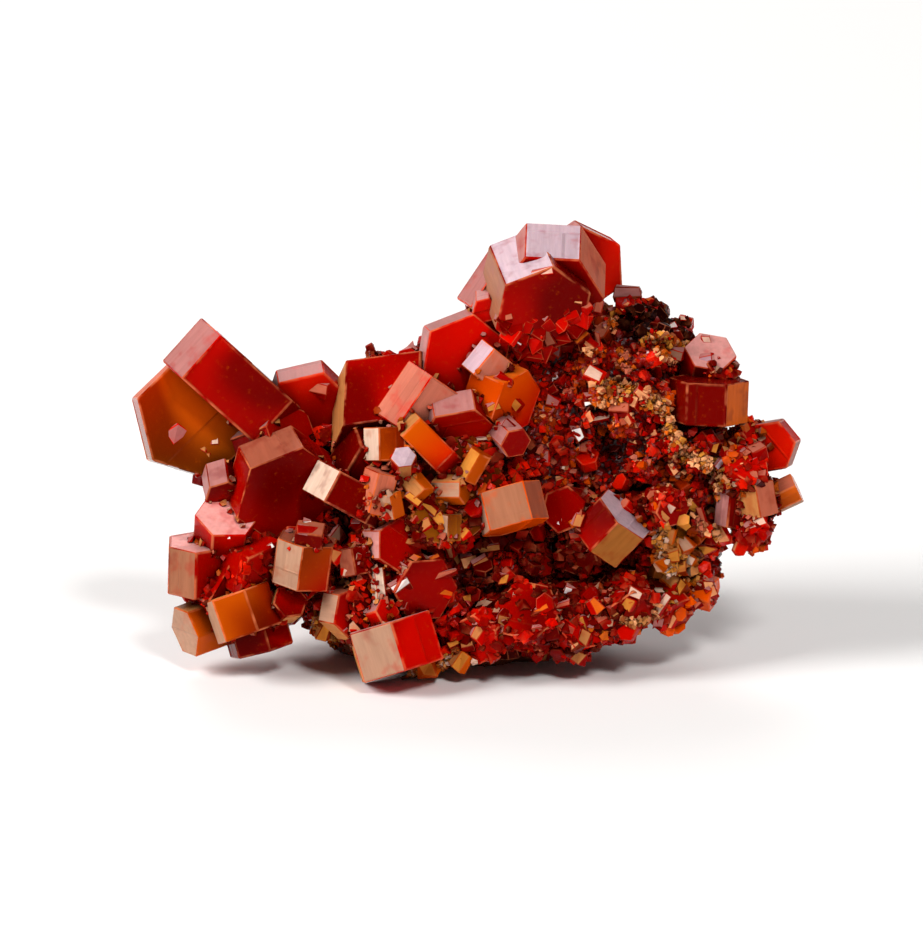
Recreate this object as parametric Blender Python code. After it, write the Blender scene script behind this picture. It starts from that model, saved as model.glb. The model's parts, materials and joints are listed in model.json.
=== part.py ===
"""A vanadinite specimen: red hexagonal crystals grown together on a lump of rock.

The specimen stands on its flat broken base at z = 0, with its wide side facing -Y. The crystals are
placed as they are seen from the front and a little above: across, up and near are millimetres to the
right, up the view and towards the viewer, from a point above the middle of the base. A crystal's long
axis is given by its turn in the view, anticlockwise from the right, and by its lean out of the view
towards the viewer. Spin turns it about that axis.
"""

import math
import random
from collections import namedtuple

import bmesh
import bpy
from mathutils import Matrix, Vector, noise

MM = 0.001
VIEW_TILT = 15
VIEW_CENTRE_HEIGHT = 15.3
GAP = 0.3
HEX_FACE = 1 / math.sqrt(3)
SIDES = 6
HALF_SIDE_TURN = 30
WHOLE_SIDE_TURN = 60

# Flats is the distance between a crystal's opposite side faces and length the distance between its
# end faces. Wide is the width of one pair of side faces, where a crystal grew broader than regular.
Crystal = namedtuple("Crystal", "across up near turn lean spin flats length wide", defaults=(None,))

UPPER_LEFT = [
    # The amber plate at the left end, seen almost square to its end face.
    Crystal(-20.6, 3.7, -1.0, turn=0, lean=80, spin=14, flats=8.3, length=3.0),
    # The broad prism over it, seen on two of its side faces.
    Crystal(-17.8, 6.1, 0.5, turn=48, lean=0, spin=15, flats=5.0, length=4.3, wide=7.5),
    # The block below them, and the one behind with the narrow upper face.
    Crystal(-13.9, -1.5, 1.5, turn=-60, lean=55, spin=-10, flats=7.4, length=3.4),
    Crystal(-12.1, 4.4, -2.3, turn=-77, lean=65, spin=0, flats=6.1, length=2.4),
    # A small one under the plate, and the one between them all.
    Crystal(-18.5, -1.3, 1.2, turn=-80, lean=40, spin=10, flats=2.6, length=2.4),
    Crystal(-15.0, 1.5, -1.0, turn=20, lean=40, spin=0, flats=5.0, length=5.0),
]

UPPER_MIDDLE = [
    # The large prism left of the middle, with its lower end turned to the viewer.
    Crystal(-5.7, 4.0, 0.0, turn=88, lean=-35, spin=-16, flats=6.5, length=6.0, wide=5.8),
    # The hexagon below the summit, and the small prism that lies on it.
    Crystal(-0.5, 8.1, 0.8, turn=-45, lean=79, spin=36, flats=6.1, length=3.5),
    Crystal(1.5, 7.4, 2.8, turn=51, lean=0, spin=12, flats=3.1, length=2.5),
    # The salmon crystal in the middle, the amber one on it and the red one at its right.
    Crystal(-3.7, 4.5, 3.0, turn=56, lean=0, spin=20, flats=4.7, length=4.6),
    Crystal(-3.2, 1.7, 4.5, turn=45, lean=0, spin=5, flats=3.6, length=2.0, wide=3.6),
    Crystal(-0.9, 2.8, 3.5, turn=-80, lean=45, spin=0, flats=5.4, length=2.3),
    # The upright prism and the tilted one below it, at the left.
    Crystal(-5.9, 1.6, 4.5, turn=91, lean=0, spin=6, flats=3.5, length=2.5),
    Crystal(-8.8, -2.3, 3.5, turn=62, lean=0, spin=3, flats=6.1, length=2.6),
    # The orange crystal at the right and the small one at its foot.
    Crystal(2.3, 5.1, 2.5, turn=-25, lean=35, spin=10, flats=4.8, length=3.2),
    Crystal(2.8, 2.3, 4.4, turn=-45, lean=55, spin=20, flats=2.2, length=3.2),
    # The crystal that joins the tilted prism to the rest.
    Crystal(-7.0, -0.2, 1.2, turn=60, lean=30, spin=0, flats=6.0, length=5.5),
]

TOP = [
    # The two summit crystals whose end faces almost meet in one plane.
    Crystal(6.1, 14.0, 0.5, turn=-93, lean=51, spin=0, flats=7.1, length=4.2),
    Crystal(4.9, 13.0, 1.5, turn=-69, lean=60, spin=0, flats=6.6, length=6.6),
    # The one behind at the right, the one behind at the left, and a small one below it.
    Crystal(8.4, 15.1, -3.2, turn=-45, lean=75, spin=-11, flats=5.5, length=3.5),
    Crystal(2.4, 13.0, -1.5, turn=56, lean=0, spin=0, flats=4.5, length=4.4),
    Crystal(1.2, 12.0, 1.2, turn=-90, lean=70, spin=15, flats=1.8, length=2.5),
]

CENTRE = [
    # The broad beige crystal at the right.
    Crystal(3.1, -3.2, 4.1, turn=104, lean=-10, spin=-10, flats=3.4, length=3.0, wide=3.3),
    # The knot of small ones, from the left.
    Crystal(-6.8, -1.9, 5.5, turn=75, lean=10, spin=20, flats=2.6, length=3.2),
    Crystal(-5.9, -2.8, 5.8, turn=100, lean=20, spin=35, flats=1.8, length=2.0),
    Crystal(-4.9, 0.1, 6.1, turn=90, lean=60, spin=8, flats=1.7, length=2.2),
    Crystal(-4.0, -1.7, 5.4, turn=-50, lean=25, spin=5, flats=1.9, length=2.0),
    Crystal(-1.4, -1.8, 4.8, turn=0, lean=25, spin=0, flats=2.0, length=2.4),
    Crystal(-1.5, -4.5, 4.6, turn=88, lean=10, spin=25, flats=1.9, length=2.0),
    Crystal(0.3, 0.0, 5.0, turn=60, lean=10, spin=30, flats=1.7, length=2.4),
    Crystal(-2.9, -4.2, 4.2, turn=20, lean=70, spin=0, flats=3.4, length=2.4),
    # The plate that they grow on.
    Crystal(-1.3, -1.6, 2.2, turn=0, lean=90, spin=10, flats=7.6, length=4.4),
]

LOWER_LEFT = [
    # The pink-topped crystal, the upright one below it and the one that points left.
    Crystal(-18.2, -5.0, 1.0, turn=85, lean=45, spin=8, flats=4.3, length=3.8),
    Crystal(-20.5, -7.5, 0.5, turn=88, lean=20, spin=31, flats=4.1, length=3.8),
    Crystal(-20.0, -12.0, -0.5, turn=200, lean=27, spin=10, flats=3.6, length=3.2),
    # The banded crystal in front, the dark one under it and the small one to the right.
    Crystal(-16.9, -11.0, 2.5, turn=109, lean=0, spin=-15, flats=4.6, length=3.3),
    Crystal(-16.0, -12.2, 0.2, turn=-75, lean=-5, spin=15, flats=4.4, length=3.4),
    Crystal(-13.7, -10.4, 2.6, turn=40, lean=65, spin=0, flats=2.4, length=2.2),
    # The large tan and orange crystal, with a small one on its end.
    Crystal(-12.3, -7.1, 3.5, turn=82, lean=16, spin=25, flats=4.2, length=3.5),
    Crystal(-11.8, -5.2, 5.2, turn=-8, lean=10, spin=25, flats=2.0, length=2.1),
    # The crystals between them.
    Crystal(-16.0, -7.8, 1.0, turn=-30, lean=50, spin=20, flats=5.2, length=4.4),
    Crystal(-17.4, -9.6, -0.6, turn=-30, lean=60, spin=0, flats=6.0, length=4.4),
    Crystal(-13.2, -7.6, 1.0, turn=40, lean=40, spin=0, flats=4.6, length=4.4),
]

FRONT = [
    # The beige and red block at the foot, and the red hexagon at its left.
    Crystal(-5.5, -13.5, 3.5, turn=107, lean=0, spin=33, flats=6.2, length=3.8),
    Crystal(-8.9, -10.9, 3.0, turn=-10, lean=60, spin=0, flats=3.8, length=2.4),
    # The thin upright prism and the small hexagon at its foot.
    Crystal(-6.7, -9.0, 4.7, turn=97, lean=0, spin=8, flats=1.1, length=2.8),
    Crystal(-6.5, -11.0, 4.8, turn=20, lean=60, spin=10, flats=1.8, length=1.8),
    # The dark red hexagon above, the tan block at its left and the large one at the right.
    Crystal(-5.8, -5.9, 4.0, turn=0, lean=60, spin=0, flats=3.6, length=2.6),
    Crystal(-8.4, -7.1, 4.2, turn=100, lean=0, spin=20, flats=2.4, length=2.1),
    Crystal(-3.9, -8.9, 3.0, turn=-30, lean=60, spin=0, flats=4.6, length=3.0),
    # The crystals that they grow on.
    Crystal(-6.4, -10.6, 1.6, turn=0, lean=70, spin=0, flats=6.4, length=4.4),
    Crystal(-6.8, -7.2, 2.0, turn=20, lean=60, spin=10, flats=4.8, length=4.4),
]

LOWER_RIGHT = [
    # The red crystals along the foot, from the left, and the spike at the right end.
    Crystal(1.2, -12.4, 2.2, turn=-140, lean=50, spin=20, flats=3.6, length=3.0),
    Crystal(4.6, -11.4, 2.4, turn=120, lean=65, spin=15, flats=4.4, length=3.4),
    Crystal(7.8, -12.3, 1.4, turn=40, lean=60, spin=0, flats=3.8, length=3.4),
    Crystal(11.7, -10.2, 1.2, turn=-60, lean=50, spin=5, flats=3.6, length=3.2),
    Crystal(14.6, -10.2, -0.4, turn=-50, lean=35, spin=25, flats=3.0, length=3.6),
    Crystal(16.9, -9.3, -1.2, turn=-15, lean=15, spin=0, flats=2.4, length=3.2),
    # The long crystals that they grow on.
    Crystal(6.6, -11.2, 0.6, turn=5, lean=0, spin=10, flats=4.4, length=11.0),
    Crystal(15.2, -9.3, -1.4, turn=10, lean=0, spin=20, flats=2.8, length=5.6),
]

MIDDLE_RIGHT = [
    # The crystal with the lavender end and the smaller ones round it.
    Crystal(10.6, -4.7, 3.0, turn=46, lean=20, spin=30, flats=4.5, length=3.2),
    Crystal(7.5, -3.4, 2.2, turn=168, lean=68, spin=0, flats=3.2, length=3.0),
    Crystal(8.4, -6.2, 1.6, turn=-110, lean=50, spin=0, flats=3.0, length=2.8),
    Crystal(14.6, -3.0, 2.4, turn=-20, lean=60, spin=0, flats=2.6, length=2.6),
    # The long crystal that they grow on.
    Crystal(10.8, -4.0, 0.9, turn=5, lean=0, spin=0, flats=3.4, length=8.0),
]

RIGHT = [
    # The stout upright prism, the pink-ended crystal above it and the one between.
    Crystal(17.9, 4.9, 1.0, turn=88, lean=9, spin=55, flats=5.2, length=3.2),
    Crystal(17.9, 7.5, -1.8, turn=80, lean=48, spin=0, flats=3.5, length=3.2),
    Crystal(18.6, 6.5, -0.7, turn=60, lean=40, spin=20, flats=2.4, length=2.4),
]

FAR_RIGHT = [
    # The bright red hexagon and the salmon prism that leave a gap between them.
    Crystal(22.7, 1.5, -1.0, turn=205, lean=76, spin=15, flats=3.6, length=2.2),
    Crystal(23.4, -2.2, 0.0, turn=25, lean=5, spin=20, flats=2.2, length=2.6),
    # The crystals that carry them.
    Crystal(20.3, -0.6, 1.0, turn=60, lean=50, spin=0, flats=3.2, length=3.0),
    Crystal(21.5, -2.4, 1.0, turn=100, lean=10, spin=30, flats=2.8, length=2.6),
    Crystal(21.2, -4.9, 0.6, turn=60, lean=25, spin=10, flats=2.4, length=2.4),
    Crystal(20.6, 1.8, -0.6, turn=30, lean=40, spin=0, flats=2.4, length=2.6),
    Crystal(20.0, -2.0, 0.5, turn=84, lean=6, spin=10, flats=2.6, length=5.2),
]

# A cluster is one crystal with smaller ones fanned out around it. Size is its middle crystal's.
Cluster = namedtuple("Cluster", "across up near turn lean size count seed")

BACK_LEFT = Cluster(-12.5, -1.0, -7.5, turn=170, lean=-55, size=5.6, count=5, seed=3)
BACK_MIDDLE = Cluster(-3.0, 1.5, -13.0, turn=100, lean=-65, size=6.4, count=5, seed=5)
BACK_RIGHT = Cluster(9.5, 2.0, -11.0, turn=20, lean=-55, size=5.6, count=5, seed=8)
BACK_LOW = Cluster(2.0, -7.0, -13.0, turn=-60, lean=-60, size=4.8, count=5, seed=13)
BACK_TOP = Cluster(6.6, 9.6, -8.2, turn=80, lean=-50, size=5.4, count=4, seed=21)

# How far off even the crystals round a cluster's middle one stand, how far out, in shares of its size,
# and how far along its axis, in millimetres. Rise and fan are the parts of their own axes that run along
# the middle one's and outwards. Sizes are shares of its size, and lengths shares of their own flats.
CLUSTER_UNEVENNESS = 0.2
CLUSTER_OUT = (0.55, 0.75)
CLUSTER_SHIFT = (-0.8, 0.8)
CLUSTER_RISE = (0.2, 0.9)
CLUSTER_FAN = (0.4, 1.0)
CLUSTER_SIZES = (0.5, 0.8)
CLUSTER_LENGTHS = (0.7, 1.0)

# The rock is made of lumps, each with its half width, half height and half depth in the view.
Lump = namedtuple("Lump", "across up near wide tall deep")

LUMPS = [
    Lump(0.0, -2.0, -6.0, 15.0, 10.5, 9.0),
    Lump(-12.0, -1.5, -4.0, 7.5, 6.0, 5.5),
    Lump(-15.5, -7.5, -3.0, 4.0, 5.0, 4.5),
    Lump(-6.5, -8.5, -2.0, 6.0, 5.6, 4.5),
    Lump(4.5, 7.0, -4.5, 6.5, 7.0, 5.5),
    Lump(12.7, 5.6, -4.5, 5.6, 7.2, 6.5),
    Lump(13.5, -4.0, -2.5, 5.5, 6.5, 5.0),
    Lump(4.0, -9.0, -2.5, 7.5, 5.0, 5.0),
    Lump(-1.0, -13.0, -8.0, 10.0, 4.0, 7.0),
    Lump(-4.5, -14.6, 1.2, 3.4, 1.9, 3.0),
    Lump(-7.6, -12.0, 1.2, 2.6, 2.6, 3.0),
    Lump(15.4, -6.2, 0.6, 1.8, 3.4, 1.8),
    Lump(17.4, 1.8, -1.4, 2.8, 3.0, 3.2),
]

# The pit below the summit, the shadowed hollow at the right foot and the one in the middle.
HOLLOWS = [
    Lump(14.4, 10.6, 1.6, 3.4, 1.5, 2.4),
    Lump(8.0, -6.8, 3.0, 5.0, 1.9, 2.8),
    Lump(7.4, 1.6, 4.2, 2.2, 1.6, 2.2),
]

# The crest that winds down the right half: across, up and near of its turns.
RIDGE = [(9.0, 6.8, 2.2), (11.4, 5.9, 2.9), (13.6, 5.0, 2.9), (15.2, 3.0, 2.6), (16.2, 0.6, 2.2),
         (18.4, -0.4, 1.2), (19.0, -2.4, 0.8), (19.2, -5.0, 0.2)]
RIDGE_RADIUS = 1.1
RIDGE_STEP = 0.8

LUMP_SUBDIVISIONS = 3
FINE_GRAIN = 0.8
ROCK_GRAIN = 2.4
ROUGHNESS = 1.1
ROUGHNESS_SIZE = 2.4
BASE_CUTTER_SIZE = 100

# The exact solver loses the skin of the many-faced rock, and the manifold one keeps it whole.
ROCK_SOLVER = "MANIFOLD"

# The crust of small crystals is closest on the right of the front, and thinner on the rest.
DRUSE_FLATS = (1.5, 2.6)
DRUSE_LENGTHS = (0.9, 1.5)
DRUSE_SPACING = 4.2
CRUST_SPACING = 2.3
CRUST_ACROSS = 3
CRUST_NEAR = -2
DRUSE_CLEARANCE = 0.9
DRUSE_LOWEST = 3.4
DRUSE_TRIES = 3000
DRUSE_SEED = 7

# How far a small crystal leans away from the skin that it stands on, against a length of 1 along it.
DRUSE_LEANS = (0.2, 1.2)

VANADINITE_RED = (0.30, 0.012, 0.006)
ROCK_OCHRE = (0.28, 0.11, 0.035)
GLASSY = 0.25
MATT = 0.8


def clear_scene():
    for item in list(bpy.data.objects):
        bpy.data.objects.remove(item, do_unlink=True)


def view_axes():
    """Across, up the view and towards the viewer, as the columns of a matrix."""
    return Matrix.Rotation(math.radians(90 - VIEW_TILT), 3, "X")


def view_to_world(place):
    return (view_axes() @ Vector(place) + Vector((0, 0, VIEW_CENTRE_HEIGHT))) * MM


def world_to_view(point):
    return view_axes().transposed() @ (point / MM - Vector((0, 0, VIEW_CENTRE_HEIGHT)))


def direction(turn, lean):
    turn = math.radians(turn)
    lean = math.radians(lean)
    return Vector((math.cos(lean) * math.cos(turn), math.cos(lean) * math.sin(turn), math.sin(lean)))


def turn_and_lean(aim):
    """The turn and lean of a direction in the view, in degrees."""
    return math.degrees(math.atan2(aim.y, aim.x)), math.degrees(math.asin(aim.z))


def crystal_matrix(crystal):
    """A crystal's place: its corners lie from its first axis on and its length along the third."""
    axis = direction(crystal.turn, crystal.lean)
    side = direction(crystal.turn + 90, 0)
    axes = Matrix((side, axis.cross(side), axis)).transposed()
    axes = view_axes() @ axes @ Matrix.Rotation(math.radians(crystal.spin), 3, "Z")
    place = view_to_world((crystal.across, crystal.up, crystal.near))
    return Matrix.Translation(place) @ axes.to_4x4()


def broadening(crystal):
    """How much further apart the corners of a broad crystal lie than those of a regular one."""
    if crystal.wide is None:
        return 0
    return crystal.wide - crystal.flats * HEX_FACE


def add_prism(bm, crystal, margin):
    """A six-sided prism with all its corners at 120 degrees, grown by a margin on every side."""
    radius = (crystal.flats + 2 * margin) * HEX_FACE * MM
    made = bmesh.ops.create_cone(bm, cap_ends=True, segments=SIDES, radius1=radius, radius2=radius,
                                 depth=(crystal.length + 2 * margin) * MM)
    bmesh.ops.rotate(bm, verts=made["verts"], matrix=Matrix.Rotation(math.radians(HALF_SIDE_TURN), 3, "Z"))
    for vert in made["verts"]:
        vert.co.x += math.copysign(broadening(crystal) / 2 * MM, vert.co.x)
    bmesh.ops.transform(bm, matrix=crystal_matrix(crystal), verts=made["verts"])


def new_object(name, bm):
    mesh = bpy.data.meshes.new(name)
    bm.to_mesh(mesh)
    bm.free()
    made = bpy.data.objects.new(name, mesh)
    bpy.context.collection.objects.link(made)
    return made


def prism(name, crystal, margin=0.0):
    bm = bmesh.new()
    add_prism(bm, crystal, margin)
    return new_object(name, bm)


def lumps(name, shapes):
    bm = bmesh.new()
    for lump in shapes:
        made = bmesh.ops.create_icosphere(bm, subdivisions=LUMP_SUBDIVISIONS, radius=MM)
        place = Matrix.Translation(view_to_world((lump.across, lump.up, lump.near)))
        size = Matrix.Diagonal((lump.wide, lump.tall, lump.deep, 1))
        bmesh.ops.transform(bm, matrix=place @ view_axes().to_4x4() @ size, verts=made["verts"])
    return new_object(name, bm)


def apply_modifiers(target):
    graph = bpy.context.evaluated_depsgraph_get()
    shaped = bpy.data.meshes.new_from_object(target.evaluated_get(graph))
    target.modifiers.clear()
    target.data = shaped


def combine(target, tool, operation, solver="EXACT"):
    """Joins the tool to the target or cuts it out, and removes the tool."""
    modifier = target.modifiers.new("Combine", "BOOLEAN")
    modifier.operation = operation
    modifier.solver = solver
    modifier.object = tool
    apply_modifiers(target)
    bpy.data.objects.remove(tool, do_unlink=True)


def fuse_by_grain(target, grain):
    """Turns overlapping bodies into one skin of even triangles."""
    modifier = target.modifiers.new("Grain", "REMESH")
    modifier.mode = "VOXEL"
    modifier.voxel_size = grain * MM
    target.modifiers.new("Triangles", "TRIANGULATE")
    apply_modifiers(target)


def ridge_lumps():
    """Small lumps in a row along the crest."""
    made = []
    for start, end in zip(RIDGE, RIDGE[1:]):
        run = Vector(end) - Vector(start)
        steps = math.ceil(run.length / RIDGE_STEP)
        for step in range(steps):
            place = Vector(start) + run * step / steps
            made.append(Lump(*place, RIDGE_RADIUS, RIDGE_RADIUS, RIDGE_RADIUS))
    return made


def roughen(target):
    """Moves the skin in and out by smooth noise, for knobs and pits."""
    normals = [vert.normal.copy() for vert in target.data.vertices]
    for vert, normal in zip(target.data.vertices, normals):
        vert.co += normal * noise.noise(vert.co / (ROUGHNESS_SIZE * MM)) * ROUGHNESS * MM


def cut_base(target):
    """Cuts the underside flat at the height that the specimen rests on."""
    bm = bmesh.new()
    bmesh.ops.create_cube(bm, size=BASE_CUTTER_SIZE * MM)
    bmesh.ops.translate(bm, vec=(0, 0, -BASE_CUTTER_SIZE / 2 * MM), verts=bm.verts)
    combine(target, new_object("base_cutter", bm), "DIFFERENCE", ROCK_SOLVER)


def connected_bodies(bm):
    """The vertices of each separate body, the smallest body first."""
    unseen = set(bm.verts)
    bodies = []
    while unseen:
        body = [unseen.pop()]
        for vert in body:
            joined = {edge.other_vert(vert) for edge in vert.link_edges} & unseen
            unseen -= joined
            body.extend(joined)
        bodies.append(body)
    return sorted(bodies, key=len)


def drop_crumbs(target):
    """Keeps the largest body and drops the crumbs that a cut leaves loose."""
    bm = bmesh.new()
    bm.from_mesh(target.data)
    for crumb in connected_bodies(bm)[:-1]:
        bmesh.ops.delete(bm, geom=crumb, context="VERTS")
    bm.to_mesh(target.data)
    bm.free()


def paint(target, name, colour, roughness):
    material = bpy.data.materials.new(name)
    material.use_nodes = True
    shader = material.node_tree.nodes["Principled BSDF"]
    shader.inputs["Base Color"].default_value = (*colour, 1)
    shader.inputs["Roughness"].default_value = roughness
    shader.inputs["Metallic"].default_value = 0
    target.data.materials.clear()
    target.data.materials.append(material)


def cluster_crystals(cluster):
    """The crystals of a cluster: a middle one, and smaller ones that point outwards around it."""
    rng = random.Random(cluster.seed)
    axis = direction(cluster.turn, cluster.lean)
    side = axis.orthogonal().normalized()
    centre = Vector((cluster.across, cluster.up, cluster.near))
    spin = rng.uniform(0, WHOLE_SIDE_TURN)
    made = [Crystal(*centre, cluster.turn, cluster.lean, spin, cluster.size, cluster.size)]
    for number in range(cluster.count):
        off_even = rng.uniform(-CLUSTER_UNEVENNESS, CLUSTER_UNEVENNESS)
        outward = Matrix.Rotation(math.tau * (number + off_even) / cluster.count, 3, axis) @ side
        out = cluster.size * rng.uniform(*CLUSTER_OUT)
        place = centre + outward * out + axis * rng.uniform(*CLUSTER_SHIFT)
        aim = (axis * rng.uniform(*CLUSTER_RISE) + outward * rng.uniform(*CLUSTER_FAN)).normalized()
        flats = cluster.size * rng.uniform(*CLUSTER_SIZES)
        length = flats * rng.uniform(*CLUSTER_LENGTHS)
        spin = rng.uniform(0, WHOLE_SIDE_TURN)
        made.append(Crystal(*place, *turn_and_lean(aim), spin, flats, length))
    return made


def crystal_groups():
    return {
        "upper_left_crystals": UPPER_LEFT,
        "upper_middle_crystals": UPPER_MIDDLE,
        "top_crystals": TOP,
        "centre_crystals": CENTRE,
        "lower_left_crystals": LOWER_LEFT,
        "front_crystals": FRONT,
        "lower_right_crystals": LOWER_RIGHT,
        "middle_right_crystals": MIDDLE_RIGHT,
        "right_crystals": RIGHT,
        "far_right_crystals": FAR_RIGHT,
        "back_left_crystals": cluster_crystals(BACK_LEFT),
        "back_middle_crystals": cluster_crystals(BACK_MIDDLE),
        "back_right_crystals": cluster_crystals(BACK_RIGHT),
        "back_low_crystals": cluster_crystals(BACK_LOW),
        "back_top_crystals": cluster_crystals(BACK_TOP),
    }


def inside(point, crystal, margin):
    """Whether a point lies in a crystal grown by a margin."""
    local = crystal_matrix(crystal).inverted() @ point / MM
    half_flats = crystal.flats / 2 + margin
    half_length = crystal.length / 2 + margin
    reach = half_flats + broadening(crystal) / 2
    return abs(local.z) < half_length and abs(local.y) < half_flats and abs(local.x) < reach


def druse_spacing(point):
    """How far small crystals stand apart at a point of the rock, in millimetres."""
    across, _, near = world_to_view(point)
    if across > CRUST_ACROSS and near > CRUST_NEAR:
        return CRUST_SPACING
    return DRUSE_SPACING


def druse_crystals(rock, others):
    """Small crystals that stand out of the rock at many angles, clear of the large ones."""
    rng = random.Random(DRUSE_SEED)
    made = []
    sites = []
    for _ in range(DRUSE_TRIES):
        face = rng.choice(rock.data.polygons)
        lay = Vector((rng.gauss(0, 1), rng.gauss(0, 1), rng.gauss(0, 1))).normalized()
        aim = (face.normal + lay * rng.uniform(*DRUSE_LEANS)).normalized()
        flats = rng.uniform(*DRUSE_FLATS)
        length = flats * rng.uniform(*DRUSE_LENGTHS)
        spin = rng.uniform(0, WHOLE_SIDE_TURN)
        reach = druse_spacing(face.center) * MM
        crowded = any((face.center - site).length < reach for site in sites)
        if crowded or face.center.z < DRUSE_LOWEST * MM:
            continue
        if any(inside(face.center, crystal, DRUSE_CLEARANCE) for crystal in others):
            continue
        sites.append(face.center.copy())
        turn, lean = turn_and_lean(view_axes().transposed() @ aim)
        made.append(Crystal(*world_to_view(face.center), turn, lean, spin, flats, length))
    return made


def make_crystal_group(name, crystals, neighbours):
    """One solid of crystals grown together, cut back from the neighbours that it would touch."""
    made = prism(name, crystals[0])
    for crystal in crystals[1:]:
        combine(made, prism("crystal", crystal), "UNION")
    for crystal in neighbours:
        combine(made, prism("socket", crystal, GAP), "DIFFERENCE")
    drop_crumbs(made)
    paint(made, name, VANADINITE_RED, GLASSY)
    return made


def make_matrix(crystals):
    """The rock with its crust of small crystals, and a socket for each large one."""
    rock = lumps("matrix", LUMPS + ridge_lumps())
    fuse_by_grain(rock, FINE_GRAIN)
    for hollow in HOLLOWS:
        combine(rock, lumps("hollow", [hollow]), "DIFFERENCE", ROCK_SOLVER)
    fuse_by_grain(rock, ROCK_GRAIN)
    roughen(rock)
    for crystal in druse_crystals(rock, crystals):
        combine(rock, prism("druse", crystal), "UNION", ROCK_SOLVER)
    cut_base(rock)
    for crystal in crystals:
        combine(rock, prism("socket", crystal, GAP), "DIFFERENCE", ROCK_SOLVER)
    drop_crumbs(rock)
    paint(rock, "matrix", ROCK_OCHRE, MATT)
    return rock


def main():
    clear_scene()
    placed = []
    for name, crystals in crystal_groups().items():
        make_crystal_group(name, crystals, placed)
        placed += crystals
    make_matrix(placed)


main()
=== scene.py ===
"""Looks of a vanadinite specimen: glassy red hexagonal crystals grown together on a crusted lump of rock.

Crystals are placed as they are seen from the front and a little above: across, up and near are
millimetres to the right, up the view and towards the viewer, from a point above the middle of the base.
"""

import json
import math
import random
from collections import namedtuple

import bmesh
import bpy
import numpy as np
from bpy.props import FloatProperty, FloatVectorProperty, IntProperty, PointerProperty
from mathutils import Matrix, Vector, noise
from mathutils.bvhtree import BVHTree

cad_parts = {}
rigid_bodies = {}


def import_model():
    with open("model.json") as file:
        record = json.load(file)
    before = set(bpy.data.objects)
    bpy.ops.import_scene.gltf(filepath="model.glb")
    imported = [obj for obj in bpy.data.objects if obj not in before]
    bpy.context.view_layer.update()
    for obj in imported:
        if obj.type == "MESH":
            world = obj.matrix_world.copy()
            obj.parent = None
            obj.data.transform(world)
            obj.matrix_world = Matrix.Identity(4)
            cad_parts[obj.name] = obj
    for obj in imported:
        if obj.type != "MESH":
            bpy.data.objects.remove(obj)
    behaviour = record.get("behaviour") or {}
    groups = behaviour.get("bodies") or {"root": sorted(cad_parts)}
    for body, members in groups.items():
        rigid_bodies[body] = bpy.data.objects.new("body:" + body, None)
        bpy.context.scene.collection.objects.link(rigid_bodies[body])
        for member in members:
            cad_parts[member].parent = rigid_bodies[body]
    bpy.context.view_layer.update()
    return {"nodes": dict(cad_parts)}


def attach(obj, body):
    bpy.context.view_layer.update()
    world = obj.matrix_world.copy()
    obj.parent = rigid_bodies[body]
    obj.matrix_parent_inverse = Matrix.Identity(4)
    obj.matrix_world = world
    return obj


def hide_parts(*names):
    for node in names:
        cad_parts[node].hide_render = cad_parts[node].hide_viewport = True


bl_info = {
    "name": "Vanadinite specimen",
    "version": (1, 0, 0),
    "blender": (4, 5, 0),
    "location": "View3D > Sidebar > Specimen",
    "description": "Adds a mineral specimen of red hexagonal crystals on rock, and its studio stage",
    "category": "Add Mesh",
}

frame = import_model()

MM = 0.001

# The view looks down by 15 degrees, at a point 15.3 mm above the base.
VIEW_TILT = 15
VIEW_CENTRE_HEIGHT = 15.3

# The width of a side of a regular hexagon whose opposite sides are 1 apart.
HEX_FACE = 1 / math.sqrt(3)
SIDES = 6

# Body is the colour inside a crystal. Films and sheens names the faces whose pale colour isn't the one that
# their lie gives them, each as the way that the face looks in the view and the colour, partly a silky film
# and partly a painted sheen that stands in for the lights' reflection, or None for a bare glassy face. Flats
# is the distance between opposite side faces, length the distance between the end faces, and wide the width
# of one pair of side faces where a crystal grew broader than regular.
# Cover is how much of a crystal the crust grew over. Fade names the way in which the inside passes into
# another colour, and that colour. Fades are painted shade: each crystal grows darker away from the light,
# which comes from up and to the left, and lighter towards it.
Crystal = namedtuple(
    "Crystal", "across up near turn lean spin flats length body wide films cover fade",
    defaults=("red", None, (), 0, None),
)

UPPER_LEFT = [
    # The amber plate at the left end, seen almost square to its end face.
    Crystal(-20.6, 3.7, -1.0, turn=0, lean=80, spin=14, flats=8.3, length=3.0,
            body="orange", fade=("down", "olive")),
    # The broad prism over it, seen on two of its side faces.
    Crystal(-17.8, 6.1, 0.5, turn=48, lean=0, spin=15, flats=5.0, length=4.3, wide=7.5,
            body="deep", films=(("up left", "rose"),), fade=("up", "red")),
    # The block below them, and the one behind with the narrow upper face.
    Crystal(-13.9, -1.5, 1.5, turn=-60, lean=55, spin=-10, flats=7.4, length=3.4,
            body="deep", films=(("up", "clay"), ("left", None))),
    Crystal(-12.1, 4.4, -2.3, turn=-77, lean=65, spin=0, flats=6.1, length=2.4,
            body="bright", films=(("up", "rose"),)),
    # A small one under the plate, and the one between them all.
    Crystal(-18.5, -1.3, 1.2, turn=-80, lean=40, spin=10, flats=2.6, length=2.4, body="deep"),
    Crystal(-15.0, 1.5, -1.0, turn=20, lean=40, spin=0, flats=5.0, length=5.0, body="deep"),
]

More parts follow.
